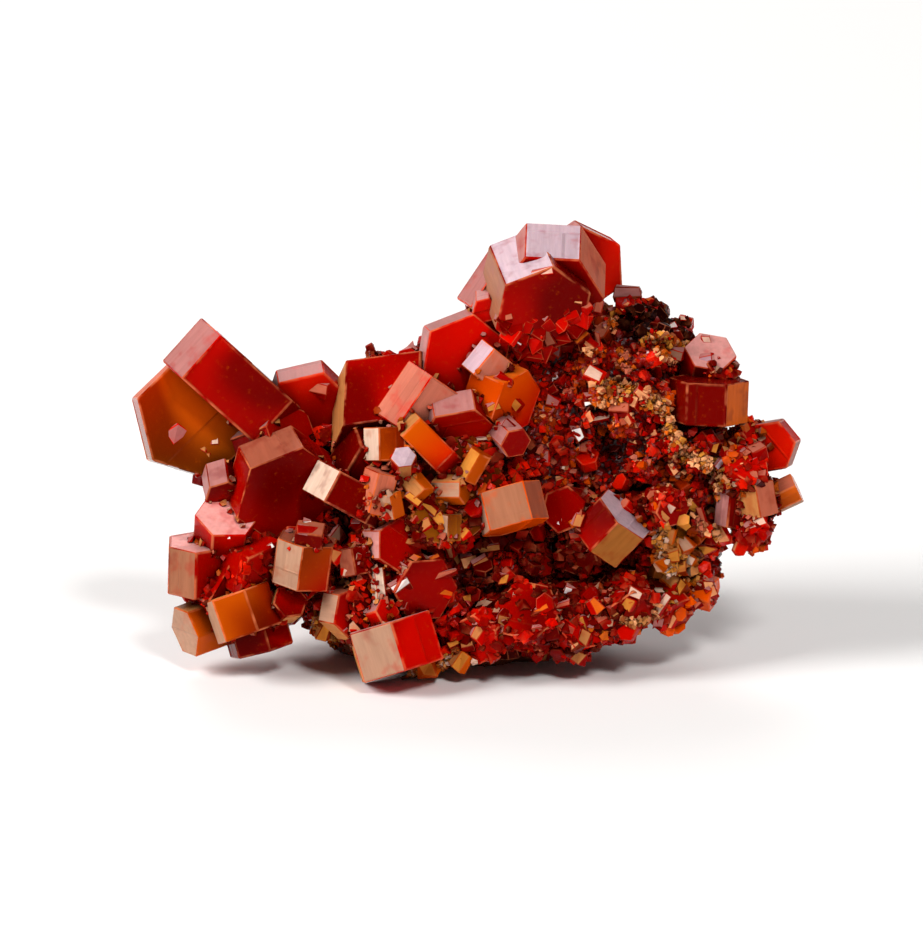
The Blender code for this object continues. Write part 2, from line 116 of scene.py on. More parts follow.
UPPER_MIDDLE = [
    # The large prism left of the middle, with its lower end turned to the viewer.
    Crystal(-5.7, 4.0, 0.0, turn=88, lean=-35, spin=-16, flats=6.5, length=6.0, wide=5.8,
            body="deep", films=(("up near", None), ("left", "tan")), fade=("down", "dark")),
    # The hexagon below the summit, and the small prism that lies on it.
    Crystal(-0.5, 8.1, 0.8, turn=-45, lean=79, spin=36, flats=6.1, length=3.5),
    Crystal(1.5, 7.4, 2.8, turn=51, lean=0, spin=12, flats=3.1, length=2.5,
            body="orange", films=(("up left", "lavender"), ("up left near", "lavender"),
                                  ("right near", "coral"))),
    # The salmon crystal in the middle, the amber one on it and the red one at its right.
    Crystal(-3.7, 4.5, 3.0, turn=56, lean=0, spin=20, flats=4.7, length=4.6,
            body="red", films=(("up left near", "coral"), ("right near", "coral"), ("up left", "coral"))),
    Crystal(-3.2, 1.7, 4.5, turn=45, lean=0, spin=5, flats=3.6, length=2.0, wide=3.6,
            body="amber", films=(("up left", "beige"),), fade=("right down", "red")),
    Crystal(-0.9, 2.8, 3.5, turn=-80, lean=45, spin=0, flats=5.4, length=2.3,
            body="bright", films=(("up", "rose"),)),
    # The upright prism and the tilted one below it, at the left.
    Crystal(-5.9, 1.6, 4.5, turn=91, lean=0, spin=6, flats=3.5, length=2.5,
            body="amber", films=(("left near", "cream"),), fade=("right", "deep")),
    Crystal(-8.8, -2.3, 3.5, turn=62, lean=0, spin=3, flats=6.1, length=2.6,
            body="dark", films=(("left up near", "cream"),)),
    # The orange crystal at the right and the small one at its foot.
    Crystal(2.3, 5.1, 2.5, turn=-25, lean=35, spin=10, flats=4.8, length=3.2,
            body="orange", films=(("left", None), ("up left", None), ("up left near", None), ("up", "rust")),
            fade=("right down", "red")),
    Crystal(2.8, 2.3, 4.4, turn=-45, lean=55, spin=20, flats=2.2, length=3.2, films=(("left", "rose"),)),
    # The crystal that joins the tilted prism to the rest.
    Crystal(-7.0, -0.2, 1.2, turn=60, lean=30, spin=0, flats=6.0, length=5.5,
            body="dark", films=(("left", None),)),
]

TOP = [
    # The two summit crystals whose end faces almost meet in one plane.
    Crystal(6.1, 14.0, 0.5, turn=-93, lean=51, spin=0, flats=7.1, length=4.2,
            body="deep", films=(("up", "lavender"), ("right", "salmon"), ("up left", "rose"))),
    Crystal(4.9, 13.0, 1.5, turn=-69, lean=60, spin=0, flats=6.6, length=6.6,
            body="deep", films=(("up", "lavender"), ("left", "fawn"))),
    # The one behind at the right, the one behind at the left, and a small one below it.
    Crystal(8.4, 15.1, -3.2, turn=-45, lean=75, spin=-11, flats=5.5, length=3.5, body="bright"),
    Crystal(2.4, 13.0, -1.5, turn=56, lean=0, spin=0, flats=4.5, length=4.4,
            films=(("up left", "rose"), ("near", "clay"))),
    Crystal(1.2, 12.0, 1.2, turn=-90, lean=70, spin=15, flats=1.8, length=2.5),
]

CENTRE = [
    # The broad beige crystal at the right.
    Crystal(3.1, -3.2, 4.1, turn=104, lean=-10, spin=-10, flats=3.4, length=3.0, wide=3.3,
            body="orange", films=(("near", "fawn"), ("left", "beige"), ("right near", "clay"))),
    # The knot of small ones, from the left.
    Crystal(-6.8, -1.9, 5.5, turn=75, lean=10, spin=20, flats=2.6, length=3.2,
            body="orange", films=(("left", "pink"), ("near", "salmon"))),
    Crystal(-5.9, -2.8, 5.8, turn=100, lean=20, spin=35, flats=1.8, length=2.0,
            body="amber", films=(("near", "beige"),)),
    Crystal(-4.9, 0.1, 6.1, turn=90, lean=60, spin=8, flats=1.7, length=2.2,
            films=(("near", "lavender"), ("down", "tan"))),
    Crystal(-4.0, -1.7, 5.4, turn=-50, lean=25, spin=5, flats=1.9, length=2.0,
            body="amber", films=(("up left", "beige"),)),
    Crystal(-1.4, -1.8, 4.8, turn=0, lean=25, spin=0, flats=2.0, length=2.4,
            body="amber", films=(("near", "beige"),)),
    Crystal(-1.5, -4.5, 4.6, turn=88, lean=10, spin=25, flats=1.9, length=2.0,
            body="olive", films=(("left near", "beige"),)),
    Crystal(0.3, 0.0, 5.0, turn=60, lean=10, spin=30, flats=1.7, length=2.4,
            body="amber", films=(("left near", "ochre"),)),
    Crystal(-2.9, -4.2, 4.2, turn=20, lean=70, spin=0, flats=3.4, length=2.4, body="olive", cover=0.5),
    # The plate that they grow on.
    Crystal(-1.3, -1.6, 2.2, turn=0, lean=90, spin=10, flats=7.6, length=4.4, body="olive", cover=0.7),
]

LOWER_LEFT = [
    # The pink-topped crystal, the upright one below it and the one that points left.
    Crystal(-18.2, -5.0, 1.0, turn=85, lean=45, spin=8, flats=4.3, length=3.8, films=(("end", "pink"),)),
    Crystal(-20.5, -7.5, 0.5, turn=88, lean=20, spin=31, flats=4.1, length=3.8,
            body="deep", films=(("left near", "fawn"), ("end", "pink"))),
    Crystal(-20.0, -12.0, -0.5, turn=200, lean=27, spin=10, flats=3.6, length=3.2,
            body="amber", films=(("end", "beige"),)),
    # The banded crystal in front, the dark one under it and the small one to the right.
    Crystal(-16.9, -11.0, 2.5, turn=109, lean=0, spin=-15, flats=4.6, length=3.3,
            body="amber", films=(("left", "beige"),), fade=("right", "deep")),
    Crystal(-16.0, -12.2, 0.2, turn=-75, lean=-5, spin=15, flats=4.4, length=3.4,
            body="deep", films=(("left", None),)),
    Crystal(-13.7, -10.4, 2.6, turn=40, lean=65, spin=0, flats=2.4, length=2.2,
            body="deep", films=(("left", "tan"), ("down", "tan"))),
    # The large tan and orange crystal, with a small one on its end.
    Crystal(-12.3, -7.1, 3.5, turn=82, lean=16, spin=25, flats=4.2, length=3.5,
            body="amber", films=(("left near", "beige"), ("left", "fawn"), ("end", "clay")),
            fade=("right down", "deep")),
    Crystal(-11.8, -5.2, 5.2, turn=-8, lean=10, spin=25, flats=2.0, length=2.1,
            body="dark", films=(("up", "clay"),)),
    # The crystals between them.
    Crystal(-16.0, -7.8, 1.0, turn=-30, lean=50, spin=20, flats=5.2, length=4.4,
            body="deep", films=(("left", None),), cover=0.12),
    Crystal(-17.4, -9.6, -0.6, turn=-30, lean=60, spin=0, flats=6.0, length=4.4, body="deep", cover=0.12),
    Crystal(-13.2, -7.6, 1.0, turn=40, lean=40, spin=0, flats=4.6, length=4.4, body="red", cover=0.12),
]

FRONT = [
    # The beige and red block at the foot, and the red hexagon at its left.
    Crystal(-5.5, -13.5, 3.5, turn=107, lean=0, spin=33, flats=6.2, length=3.8,
            body="red", films=(("left near", "beige"), ("left", "tan"))),
    Crystal(-8.9, -10.9, 3.0, turn=-10, lean=60, spin=0, flats=3.8, length=2.4,
            films=(("left", "beige"), ("down left", "tan"), ("up", "clay"))),
    # The thin upright prism and the small hexagon at its foot.
    Crystal(-6.7, -9.0, 4.7, turn=97, lean=0, spin=8, flats=1.1, length=2.8,
            body="deep", films=(("near", "cream"), ("left near", "cream"))),
    Crystal(-6.5, -11.0, 4.8, turn=20, lean=60, spin=10, flats=1.8, length=1.8, films=(("down", "ochre"),)),
    # The dark red hexagon above, the tan block at its left and the large one at the right.
    Crystal(-5.8, -5.9, 4.0, turn=0, lean=60, spin=0, flats=3.6, length=2.6,
            body="deep", films=(("left", "pink"), ("up left", "pink"))),
    Crystal(-8.4, -7.1, 4.2, turn=100, lean=0, spin=20, flats=2.4, length=2.1,
            body="deep", films=(("left near", "clay"),)),
    Crystal(-3.9, -8.9, 3.0, turn=-30, lean=60, spin=0, flats=4.6, length=3.0,
            body="deep", films=(("up left", None), ("up", None))),
    # The crystals that they grow on.
    Crystal(-6.4, -10.6, 1.6, turn=0, lean=70, spin=0, flats=6.4, length=4.4, body="dark", cover=0.35),
    Crystal(-6.8, -7.2, 2.0, turn=20, lean=60, spin=10, flats=4.8, length=4.4, body="deep", cover=0.35),
]

LOWER_RIGHT = [
    # The red crystals along the foot, from the left, and the spike at the right end.
    Crystal(1.2, -12.4, 2.2, turn=-140, lean=50, spin=20, flats=3.6, length=3.0, body="red", cover=0.3),
    Crystal(4.6, -11.4, 2.4, turn=120, lean=65, spin=15, flats=4.4, length=3.4, body="deep", cover=0.3),
    Crystal(7.8, -12.3, 1.4, turn=40, lean=60, spin=0, flats=3.8, length=3.4, body="red", cover=0.3),
    Crystal(11.7, -10.2, 1.2, turn=-60, lean=50, spin=5, flats=3.6, length=3.2, body="red", cover=0.3),
    Crystal(14.6, -10.2, -0.4, turn=-50, lean=35, spin=25, flats=3.0, length=3.6, body="bright", cover=0.3),
    Crystal(16.9, -9.3, -1.2, turn=-15, lean=15, spin=0, flats=2.4, length=3.2, body="orange"),
    # The long crystals that they grow on.
    Crystal(6.6, -11.2, 0.6, turn=5, lean=0, spin=10, flats=4.4, length=11.0, body="dark", cover=0.9),
    Crystal(15.2, -9.3, -1.4, turn=10, lean=0, spin=20, flats=2.8, length=5.6, body="deep", cover=0.8),
]

MIDDLE_RIGHT = [
    # The crystal with the lavender end and the smaller ones round it.
    Crystal(10.6, -4.7, 3.0, turn=46, lean=20, spin=30, flats=4.5, length=3.2,
            body="deep", films=(("end", "lavender"), ("right down near", "brown"), ("left", None),
                                ("left near", None))),
    Crystal(7.5, -3.4, 2.2, turn=168, lean=68, spin=0, flats=3.2, length=3.0,
            body="red", films=(("left", None), ("up left", None))),
    Crystal(8.4, -6.2, 1.6, turn=-110, lean=50, spin=0, flats=3.0, length=2.8, body="dark", cover=0.7),
    Crystal(14.6, -3.0, 2.4, turn=-20, lean=60, spin=0, flats=2.6, length=2.6, cover=0.3),
    # The long crystal that they grow on.
    Crystal(10.8, -4.0, 0.9, turn=5, lean=0, spin=0, flats=3.4, length=8.0, body="dark", cover=0.9),
]

RIGHT = [
    # The stout upright prism, the pink-ended crystal above it and the one between.
    Crystal(17.9, 4.9, 1.0, turn=88, lean=9, spin=55, flats=5.2, length=3.2,
            body="dark", films=(("right near", "rust"), ("end", None), ("left near", None), ("left", None))),
    Crystal(17.9, 7.5, -1.8, turn=80, lean=48, spin=0, flats=3.5, length=3.2, films=(("end", "pink"),)),
    Crystal(18.6, 6.5, -0.7, turn=60, lean=40, spin=20, flats=2.4, length=2.4, body="deep", cover=0.3),
]

FAR_RIGHT = [
    # The bright red hexagon and the salmon prism that leave a gap between them.
    Crystal(22.7, 1.5, -1.0, turn=205, lean=76, spin=15, flats=3.6, length=2.2,
            body="bright", films=(("left", None), ("right", "clay"))),
    Crystal(23.4, -2.2, 0.0, turn=25, lean=5, spin=20, flats=2.2, length=2.6,
            body="rust", films=(("up", "clay"), ("down", "beige"))),
    # The crystals that carry them.
    Crystal(20.3, -0.6, 1.0, turn=60, lean=50, spin=0, flats=3.2, length=3.0, cover=0.5),
    Crystal(21.5, -2.4, 1.0, turn=100, lean=10, spin=30, flats=2.8, length=2.6,
            body="orange", films=(("left near", "tan"), ("right near", "salmon"))),
    Crystal(21.2, -4.9, 0.6, turn=60, lean=25, spin=10, flats=2.4, length=2.4, body="deep", cover=0.4),
    Crystal(20.6, 1.8, -0.6, turn=30, lean=40, spin=0, flats=2.4, length=2.6, body="deep", cover=0.5),
    Crystal(20.0, -2.0, 0.5, turn=84, lean=6, spin=10, flats=2.6, length=5.2,
            body="red", fade=("down", "dark")),
]

# A cluster is one crystal with smaller ones fanned out around it. Size is its middle crystal's.
Cluster = namedtuple("Cluster", "across up near turn lean size count seed")

CLUSTER_BODIES = ("deep", "red", "orange", "red", "bright")

BACK_LEFT = Cluster(-12.5, -1.0, -7.5, turn=170, lean=-55, size=5.6, count=5, seed=3)
BACK_MIDDLE = Cluster(-3.0, 1.5, -13.0, turn=100, lean=-65, size=6.4, count=5, seed=5)
BACK_RIGHT = Cluster(9.5, 2.0, -11.0, turn=20, lean=-55, size=5.6, count=5, seed=8)
BACK_LOW = Cluster(2.0, -7.0, -13.0, turn=-60, lean=-60, size=4.8, count=5, seed=13)
BACK_TOP = Cluster(6.6, 9.6, -8.2, turn=80, lean=-50, size=5.4, count=4, seed=21)

# The ways that a face can look in the view, for a crystal's films and sheens and its fade.
WAYS = {"left": (-1, 0, 0), "right": (1, 0, 0), "up": (0, 1, 0), "down": (0, -1, 0), "near": (0, 0, 1)}

# Faces that look up and to the left, towards the light, are painted pale with a sheen that stands in for
# the lights' reflection: a rose one, but for these bodies. A crystal that the crust grew over has none.
PAINTED_SHEEN_SIDE = Vector((-0.5, 0.8, 0.33)).normalized()
PAINTED_SHEEN_FROM = 0.6
PAINTED_SHEEN_UP_TO_COVER = 0.1
BODY_PAINTED_SHEENS = {"dark": "clay", "orange": "salmon", "amber": "tan", "olive": "tan", "rust": "salmon"}


def view_axes():
    """Across, up the view and towards the viewer, as the columns of a matrix."""
    return Matrix.Rotation(math.radians(90 - VIEW_TILT), 3, "X")


def view_to_world(place):
    """The point, in metres, of a place in the view."""
    return (view_axes() @ Vector(place) + Vector((0, 0, VIEW_CENTRE_HEIGHT))) * MM


def world_to_view(point):
    """The place in the view, in millimetres, of a point."""
    return view_axes().transposed() @ (point / MM - Vector((0, 0, VIEW_CENTRE_HEIGHT)))


def is_below_base(place, reach):
    """Whether a small crystal at a place in the view would reach below the flat base."""
    return view_to_world(place).z < reach * MM


def seen_way(way):
    """A direction as it is seen in the view."""
    return view_axes().transposed() @ Vector(way)


def way_named(words):
    """The direction in the view that words such as "up left" name."""
    return sum((Vector(WAYS[word]) for word in words.split()), Vector()).normalized()


def direction(turn, lean):
    """A direction in the view: turned round from the right, and leaning towards the viewer."""
    turn = math.radians(turn)
    lean = math.radians(lean)
    return Vector((math.cos(lean) * math.cos(turn), math.cos(lean) * math.sin(turn), math.sin(lean)))


def turn_and_lean(aim):
    """The turn and lean of a direction in the view, in degrees."""
    return math.degrees(math.atan2(aim.y, aim.x)), math.degrees(math.asin(aim.z))


def crystal_matrix(crystal):
    """A crystal's place: its corners lie from its first axis on and its length along the third."""
    axis = direction(crystal.turn, crystal.lean)
    side = direction(crystal.turn + 90, 0)
    axes = Matrix((side, axis.cross(side), axis)).transposed()
    axes = view_axes() @ axes @ Matrix.Rotation(math.radians(crystal.spin), 3, "Z")
    place = view_to_world((crystal.across, crystal.up, crystal.near))
    return Matrix.Translation(place) @ axes.to_4x4()


def broadening(crystal):
    """How much further apart the corners of a broad crystal lie than those of a regular one."""
    if crystal.wide is None:
        return 0
    return crystal.wide - crystal.flats * HEX_FACE


def axes_in_view(crystal):
    """A crystal's own axes as they are seen in the view, as the columns of a matrix."""
    return view_axes().transposed() @ crystal_matrix(crystal).to_3x3()


def in_view(normal, crystal):
    """The way that a crystal's face looks, as across, up and near."""
    return axes_in_view(crystal) @ normal


def cluster_crystals(cluster):
    """The crystals of a cluster: a middle one, and smaller ones that point outwards around it."""
    rng = random.Random(cluster.seed)
    axis = direction(cluster.turn, cluster.lean)
    side = axis.orthogonal().normalized()
    centre = Vector((cluster.across, cluster.up, cluster.near))
    made = [Crystal(*centre, cluster.turn, cluster.lean, rng.uniform(0, 60), cluster.size, cluster.size,
                    CLUSTER_BODIES[0])]
    for number in range(cluster.count):
        swing = math.tau * (number + rng.uniform(-0.2, 0.2)) / cluster.count
        outward = Matrix.Rotation(swing, 3, axis) @ side
        place = centre + outward * cluster.size * rng.uniform(0.55, 0.75) + axis * rng.uniform(-0.8, 0.8)
        aim = (axis * rng.uniform(0.2, 0.9) + outward * rng.uniform(0.4, 1.0)).normalized()
        flats = cluster.size * rng.uniform(0.5, 0.8)
        length = flats * rng.uniform(0.7, 1.0)
        made.append(Crystal(*place, *turn_and_lean(aim), rng.uniform(0, 60), flats, length,
                            CLUSTER_BODIES[number % len(CLUSTER_BODIES)]))
    return made


def crystal_groups():
    """The large crystals of each node of the frame that has some."""
    return {
        "upper_left_crystals": UPPER_LEFT,
        "upper_middle_crystals": UPPER_MIDDLE,
        "top_crystals": TOP,
        "centre_crystals": CENTRE,
        "lower_left_crystals": LOWER_LEFT,
        "front_crystals": FRONT,
        "lower_right_crystals": LOWER_RIGHT,
        "middle_right_crystals": MIDDLE_RIGHT,
        "right_crystals": RIGHT,
        "far_right_crystals": FAR_RIGHT,
        "back_left_crystals": cluster_crystals(BACK_LEFT),
        "back_middle_crystals": cluster_crystals(BACK_MIDDLE),
        "back_right_crystals": cluster_crystals(BACK_RIGHT),
        "back_low_crystals": cluster_crystals(BACK_LOW),
        "back_top_crystals": cluster_crystals(BACK_TOP),
    }


def all_crystals():
    return [crystal for crystals in crystal_groups().values() for crystal in crystals]


def hex_to_linear(code):
    """An sRGB hex colour as linear red, green and blue."""
    parts = [int(code[place:place + 2], 16) / 255 for place in (1, 3, 5)]
    return tuple(part / 12.92 if part <= 0.04045 else ((part + 0.055) / 1.055) ** 2.4 for part in parts)


def colour_property(name, description, code):
    return FloatVectorProperty(name=name, description=description, default=hex_to_linear(code),
                               subtype="COLOR", size=3, min=0, max=1)


class SpecimenColours(bpy.types.PropertyGroup):
    """Colours of the crystals' insides and films, and of the painted sheen, glints, shade and glow on them.
    """

    red: colour_property("Red", "Clear red crystal", "#C40600")
    deep: colour_property("Deep red", "Thick crystal that little light gets through", "#9C0300")
    bright: colour_property("Bright red", "Thin clear crystal", "#E01400")
    dark: colour_property("Dark red", "Crystal in the shade of others", "#660200")
    # Black is painted shade, for the crystals deep in the crust's dark hollows.
    black: colour_property("Black red", "Crystal that no light gets through", "#280201")
    orange: colour_property("Orange", "Thin crystal with light behind it", "#DC4A00")
    amber: colour_property("Amber", "Crystal zoned with brown", "#BC4A02")
    olive: colour_property("Olive", "Crystal full of ochre", "#8E4A0A")
    rust: colour_property("Rust", "Orange crystal with a dull skin", "#D45E14")
    # Rose, pink, lavender and coral are painted sheen: pale colours that stand in for the lights' reflection.
    # The other films are real films of dust and iron oxide, and are also painted as sheen on faces that look
    # towards the light.
    rose: colour_property("Rose film", "Silky film on a red face", "#AC706A")
    pink: colour_property("Pink film", "Thick silky film on a red face", "#DC968E")
    lavender: colour_property("Lavender film", "Silky film that scatters the sky", "#BEA2AA")
    salmon: colour_property("Salmon film", "Thin film on an orange face", "#C0644A")
    clay: colour_property("Clay film", "Brownish film", "#98503A")
    tan: colour_property("Tan film", "Ochre dust in a film", "#C07C44")
    beige: colour_property("Beige film", "Thick pale film", "#B0866C")
    coral: colour_property("Coral film", "Thin film on a bright face", "#BC6A54")
    fawn: colour_property("Fawn film", "Thin brownish film", "#9E664A")
    brown: colour_property("Brown film", "Film full of iron oxide", "#9A5C26")
    cream: colour_property("Cream film", "The palest film", "#E2BEA6")
    ochre: colour_property("Ochre film", "Film of iron oxide", "#D88A34")
    peach: colour_property("Peach", "Crumbs of the crest", "#F2A46E")
    # Glint is a painted highlight: near-white faces where the lights would glint.
    glint: colour_property("Glint", "A face that throws back the light", "#FFF0EA")
    druse: colour_property("Druse", "Crystals too fine to tell apart", "#A00800")
    # Dark druse is painted shade in the druse's low places and recesses.
    druse_dark: colour_property("Dark druse", "Hollows of the druse", "#3C0402")
    rock: colour_property("Rock", "Iron-stained rock", "#7A3A18")
    rock_dark: colour_property("Dark rock", "Hollows of the rock", "#3A120A")
    rock_pale: colour_property("Pale rock", "Barite in the rock", "#B98F6E")
    # Edge is a painted glow: the colour of light that comes through a crystal's thin edges.
    edge: colour_property("Edge", "Light through the thin edges of a crystal", "#DE7A4C")
    floor: colour_property("Floor", "Studio floor", "#F4F2F0")


class SpecimenSizes(bpy.types.PropertyGroup):
    """Sizes of the crystals' fine shapes, in metres."""

    bevel: FloatProperty(name="Bevel", description="Width of the worn edges of a large crystal",
                         default=0.07 * MM, unit="LENGTH", precision=5)
    # The rim round each face carries the painted glow of the edges.
    rim: FloatProperty(name="Rim", description="Width of the clear rim round each face",
                       default=0.09 * MM, unit="LENGTH", precision=5)
    step: FloatProperty(name="Growth step", description="Height of the largest growth steps",
                        default=0.09 * MM, unit="LENGTH", precision=5)
    rock_grain: FloatProperty(name="Rock grain", description="Size of the rock's mesh",
                              default=0.28 * MM, unit="LENGTH", precision=5)
    rock_relief: FloatProperty(name="Rock relief", description="Height of the rock's knobs",
                               default=0.7 * MM, unit="LENGTH", precision=5)
    recess: FloatProperty(name="Recess", description="Depth of the recesses between the knobs of the crust",
                          default=0.7 * MM, unit="LENGTH", precision=5)
    druse_relief: FloatProperty(name="Druse relief", description="Height of the druse's grains",
                                default=0.3 * MM, unit="LENGTH", precision=5)
    crust_count: IntProperty(name="Crust", description="Places tried for crystals of the crust",
                             default=50000, min=0)


SIN_60 = math.sin(math.radians(60))

# A crystal has two ends and six sides. Its edges are worn by up to this share of its width.
MAIN_FACES = SIDES + 2
WORN_SHARE = 0.03

# How far a fading crystal's second colour has come in its middle.
FADE_AT_MIDDLE = 0.1

# How often a face may be cut into patches, the share of cuts that run along the crystal, how far from a
# patch's middle they lie at most, as a part of its reach, and how much painted glow the patches' edges have.
PATCH_CUTS = (0, 0, 0, 0, 1, 1, 2)
CUTS_ALONG = 0.75
CUT_FROM_MIDDLE = 0.6
CUT_RIM = 0.08

# The rim and the height of a patch, as parts of the usual ones, the rim's largest share of the patch,
# the size in millimetres from which a patch has its full height, and its tilt in degrees.
RIM_PARTS = (0.6, 1.6)
RIM_OF_PATCH = 0.16
STEP_PARTS = (-1.0, 0.7)
FULL_STEP_FROM = 3
PATCH_TILT = 0.7

# How much lighter or darker than its colour a patch of a crystal may be, a whole small crystal, and the
# film and painted sheen on one.
SHADES = 0.14
SMALL_SHADES = 0.25
SMALL_FILM_AND_SHEEN_SHADES = 0.08

# The patterns of crystals start within this many millimetres of one another.
PATTERN_SPAN = 90

# Crystals smaller than this are grains, which have no rims. Grains and chips are misshapen, and other
# small crystals less so. The shifts of their corners are shares of their width.
GRAIN_BELOW = 0.8
MISSHAPEN = 0.14
SLIGHTLY_MISSHAPEN = 0.035
SMALL_RIM = 0.05
SMALL_STEP = 0.03

# How much painted glow the edges of a grain may have, and how much those of other small crystals have.
GRAIN_EDGE = 0.5
SMALL_EDGE = 0.7

# How far a face has to look towards the light to carry the painted sheen, and how thick it is, both at
# random.
GRAIN_SHEEN_FROM = (0.2, 0.8)
GRAIN_SHEEN = (0.6, 1.0)
SMALL_SHEEN_FROM = (0.3, 0.8)
SMALL_FILM_AND_SHEEN = (0.8, 1.0)

# Small crystals are made this many at a time, because a large bmesh is slow to add to.
BATCH = 16


def distance_outside(points, crystal):
    """How far each point lies outside the planes of a crystal's faces, in millimetres, negative inside."""
    place = np.array(crystal_matrix(crystal).inverted())
    across, along, depth = ((points @ place[:3, :3].T + place[:3, 3]) / MM).T
    half = crystal.flats / 2
    spread = broadening(crystal) / 2 * SIN_60
    gaps = [abs(along) - half, abs(depth) - crystal.length / 2]
    for sign in (-1, 1):
        gaps.append(abs(across * SIN_60 + sign * along / 2) - half - spread)
    return np.max(gaps, axis=0)


def add_layers(bm):
    """Body and film are colours, the film partly painted sheen. Rim is 1 along a crystal's edges, where it
    sets their painted glow, and own is a place in the crystal.
    """
    bm.loops.layers.float_color.new("body")
    bm.loops.layers.float_color.new("film_colour")
    bm.loops.layers.float.new("film")
    bm.verts.layers.float.new("rim")
    bm.verts.layers.float_vector.new("own")


def add_hexagon(bm, crystal):
    """A six-sided prism at the origin, in millimetres, and its vertices."""
    radius = crystal.flats * HEX_FACE
    verts = bmesh.ops.create_cone(bm, cap_ends=True, segments=SIDES, radius1=radius, radius2=radius,
                                  depth=crystal.length)["verts"]
    bmesh.ops.rotate(bm, verts=verts, matrix=Matrix.Rotation(math.radians(30), 3, "Z"))
    for vert in verts:
        vert.co.x += math.copysign(broadening(crystal) / 2, vert.co.x)
    return verts


def faces_of(verts):
    return list({face: None for vert in verts for face in vert.link_faces})


def verts_of(faces):
    return list({vert: None for face in faces for vert in face.verts})


def paint_faces(bm, faces, body, film_colour, film):
    """Gives faces their inside colour, their film and painted sheen's colour, and how thick it is from 0 to
    1.
    """
    body_layer = bm.loops.layers.float_color["body"]
    colour_layer = bm.loops.layers.float_color["film_colour"]
    film_layer = bm.loops.layers.float["film"]
    for face in faces:
        for loop in face.loops:
            loop[body_layer] = (*body, 1)
            loop[colour_layer] = (*film_colour, 1)
            loop[film_layer] = film


def set_rim(bm, faces, amount):
    """Sets how much painted glow the crystal has at the faces' corners, from 0 to 1."""
    layer = bm.verts.layers.float["rim"]
    for vert in verts_of(faces):
        vert[layer] = amount


def set_own(bm, verts, rng):
    """Each crystal's pattern starts somewhere else."""
    layer = bm.verts.layers.float_vector["own"]
    start = Vector([rng.uniform(0, PATTERN_SPAN) for _ in range(3)])
    for vert in verts:
        vert[layer] = vert.co + start


def film_and_sheen_names(crystal, normals):
    """The film on each face, from the way that it looks in the view, and None for a bare one.

    Faces that look towards the light get a painted sheen.
    """
    ways = [in_view(normal, crystal) for normal in normals]
    # Faces that look up and to the left, towards the light, get a painted sheen.
    usual = BODY_PAINTED_SHEENS.get(crystal.body, "rose") if crystal.cover <= PAINTED_SHEEN_UP_TO_COVER else None
    films = [usual if way.dot(PAINTED_SHEEN_SIDE) > PAINTED_SHEEN_FROM else None for way in ways]
    for words, film in crystal.films:
        if words == "end":
            aim = direction(crystal.turn, crystal.lean)
            aim = aim if aim.z > 0 else -aim
        else:
            aim = way_named(words)
        films[max(range(len(ways)), key=lambda number: ways[number].dot(aim))] = film
    return films


def smooth(share):
    """A share held between 0 and 1 and eased towards both."""
    share = min(max(share, 0), 1)
    return share * share * (3 - 2 * share)


def fade_body(bm, crystal, colours):
    """Lets one side of a crystal pass into another colour: painted shade, darker away from the light."""
    words, name = crystal.fade
    aim = axes_in_view(crystal).transposed() @ way_named(words)
    second = Vector((*getattr(colours, name), 1))
    layer = bm.loops.layers.float_color["body"]
    reach = max(vert.co.dot(aim) for vert in bm.verts)
    for face in bm.faces:
        for loop in face.loops:
            share = smooth(FADE_AT_MIDDLE + loop.vert.co.dot(aim) / reach)
            loop[layer] = loop[layer].lerp(second, share)


def cut_patches(bm, face, rng):
    """Cuts a face into the patches that grew at different heights, along the crystal's own directions."""
    patches = [face]
    for _ in range(rng.choice(PATCH_CUTS)):
        patch = max(patches, key=lambda item: item.calc_area())
        if abs(patch.normal.z) > 0.5:
            across = Matrix.Rotation(math.radians(60 * rng.randrange(3)), 3, "Z") @ Vector((0, 1, 0))
        elif rng.random() < CUTS_ALONG:
            across = patch.normal.cross((0, 0, 1))
        else:
            across = Vector((0, 0, 1))
        reach = max(abs((vert.co - patch.calc_center_median()).dot(across)) for vert in patch.verts)
        start = patch.calc_center_median() + across * reach * rng.uniform(-CUT_FROM_MIDDLE, CUT_FROM_MIDDLE)
        geometry = [patch] + list(patch.edges) + list(patch.verts)
        cut = bmesh.ops.bisect_plane(bm, geom=geometry, dist=0.001, plane_co=start, plane_no=across)
        patches.remove(patch)
        for vert in cut["geom_cut"]:
            if isinstance(vert, bmesh.types.BMVert):
                vert[bm.verts.layers.float["rim"]] = CUT_RIM
        patches += [item for item in cut["geom"] if isinstance(item, bmesh.types.BMFace)]
    return patches


def raise_patch(bm, patch, sizes, rng):
    """Gives a patch its height, a sloping rim and a slight tilt, and returns the rim's faces."""
    reach = math.sqrt(patch.calc_area())
    rim = min(sizes.rim / MM * rng.uniform(*RIM_PARTS), reach * RIM_OF_PATCH)
    height = sizes.step / MM * rng.uniform(*STEP_PARTS) * min(reach / FULL_STEP_FROM, 1)
    ring = bmesh.ops.inset_individual(bm, faces=[patch], thickness=rim, depth=height, use_even_offset=True)
    tilt = math.radians(rng.uniform(-PATCH_TILT, PATCH_TILT))
    tilt = Matrix.Rotation(tilt, 3, patch.normal.orthogonal())
    bmesh.ops.rotate(bm, cent=patch.calc_center_median(), matrix=tilt, verts=patch.verts)
    return ring["faces"]


def varied(colour, rng, spread=SHADES):
    """A colour a little lighter or darker than the one given."""
    shade = rng.uniform(1 - spread, 1 + spread)
    return tuple(min(part * shade, 1) for part in colour)


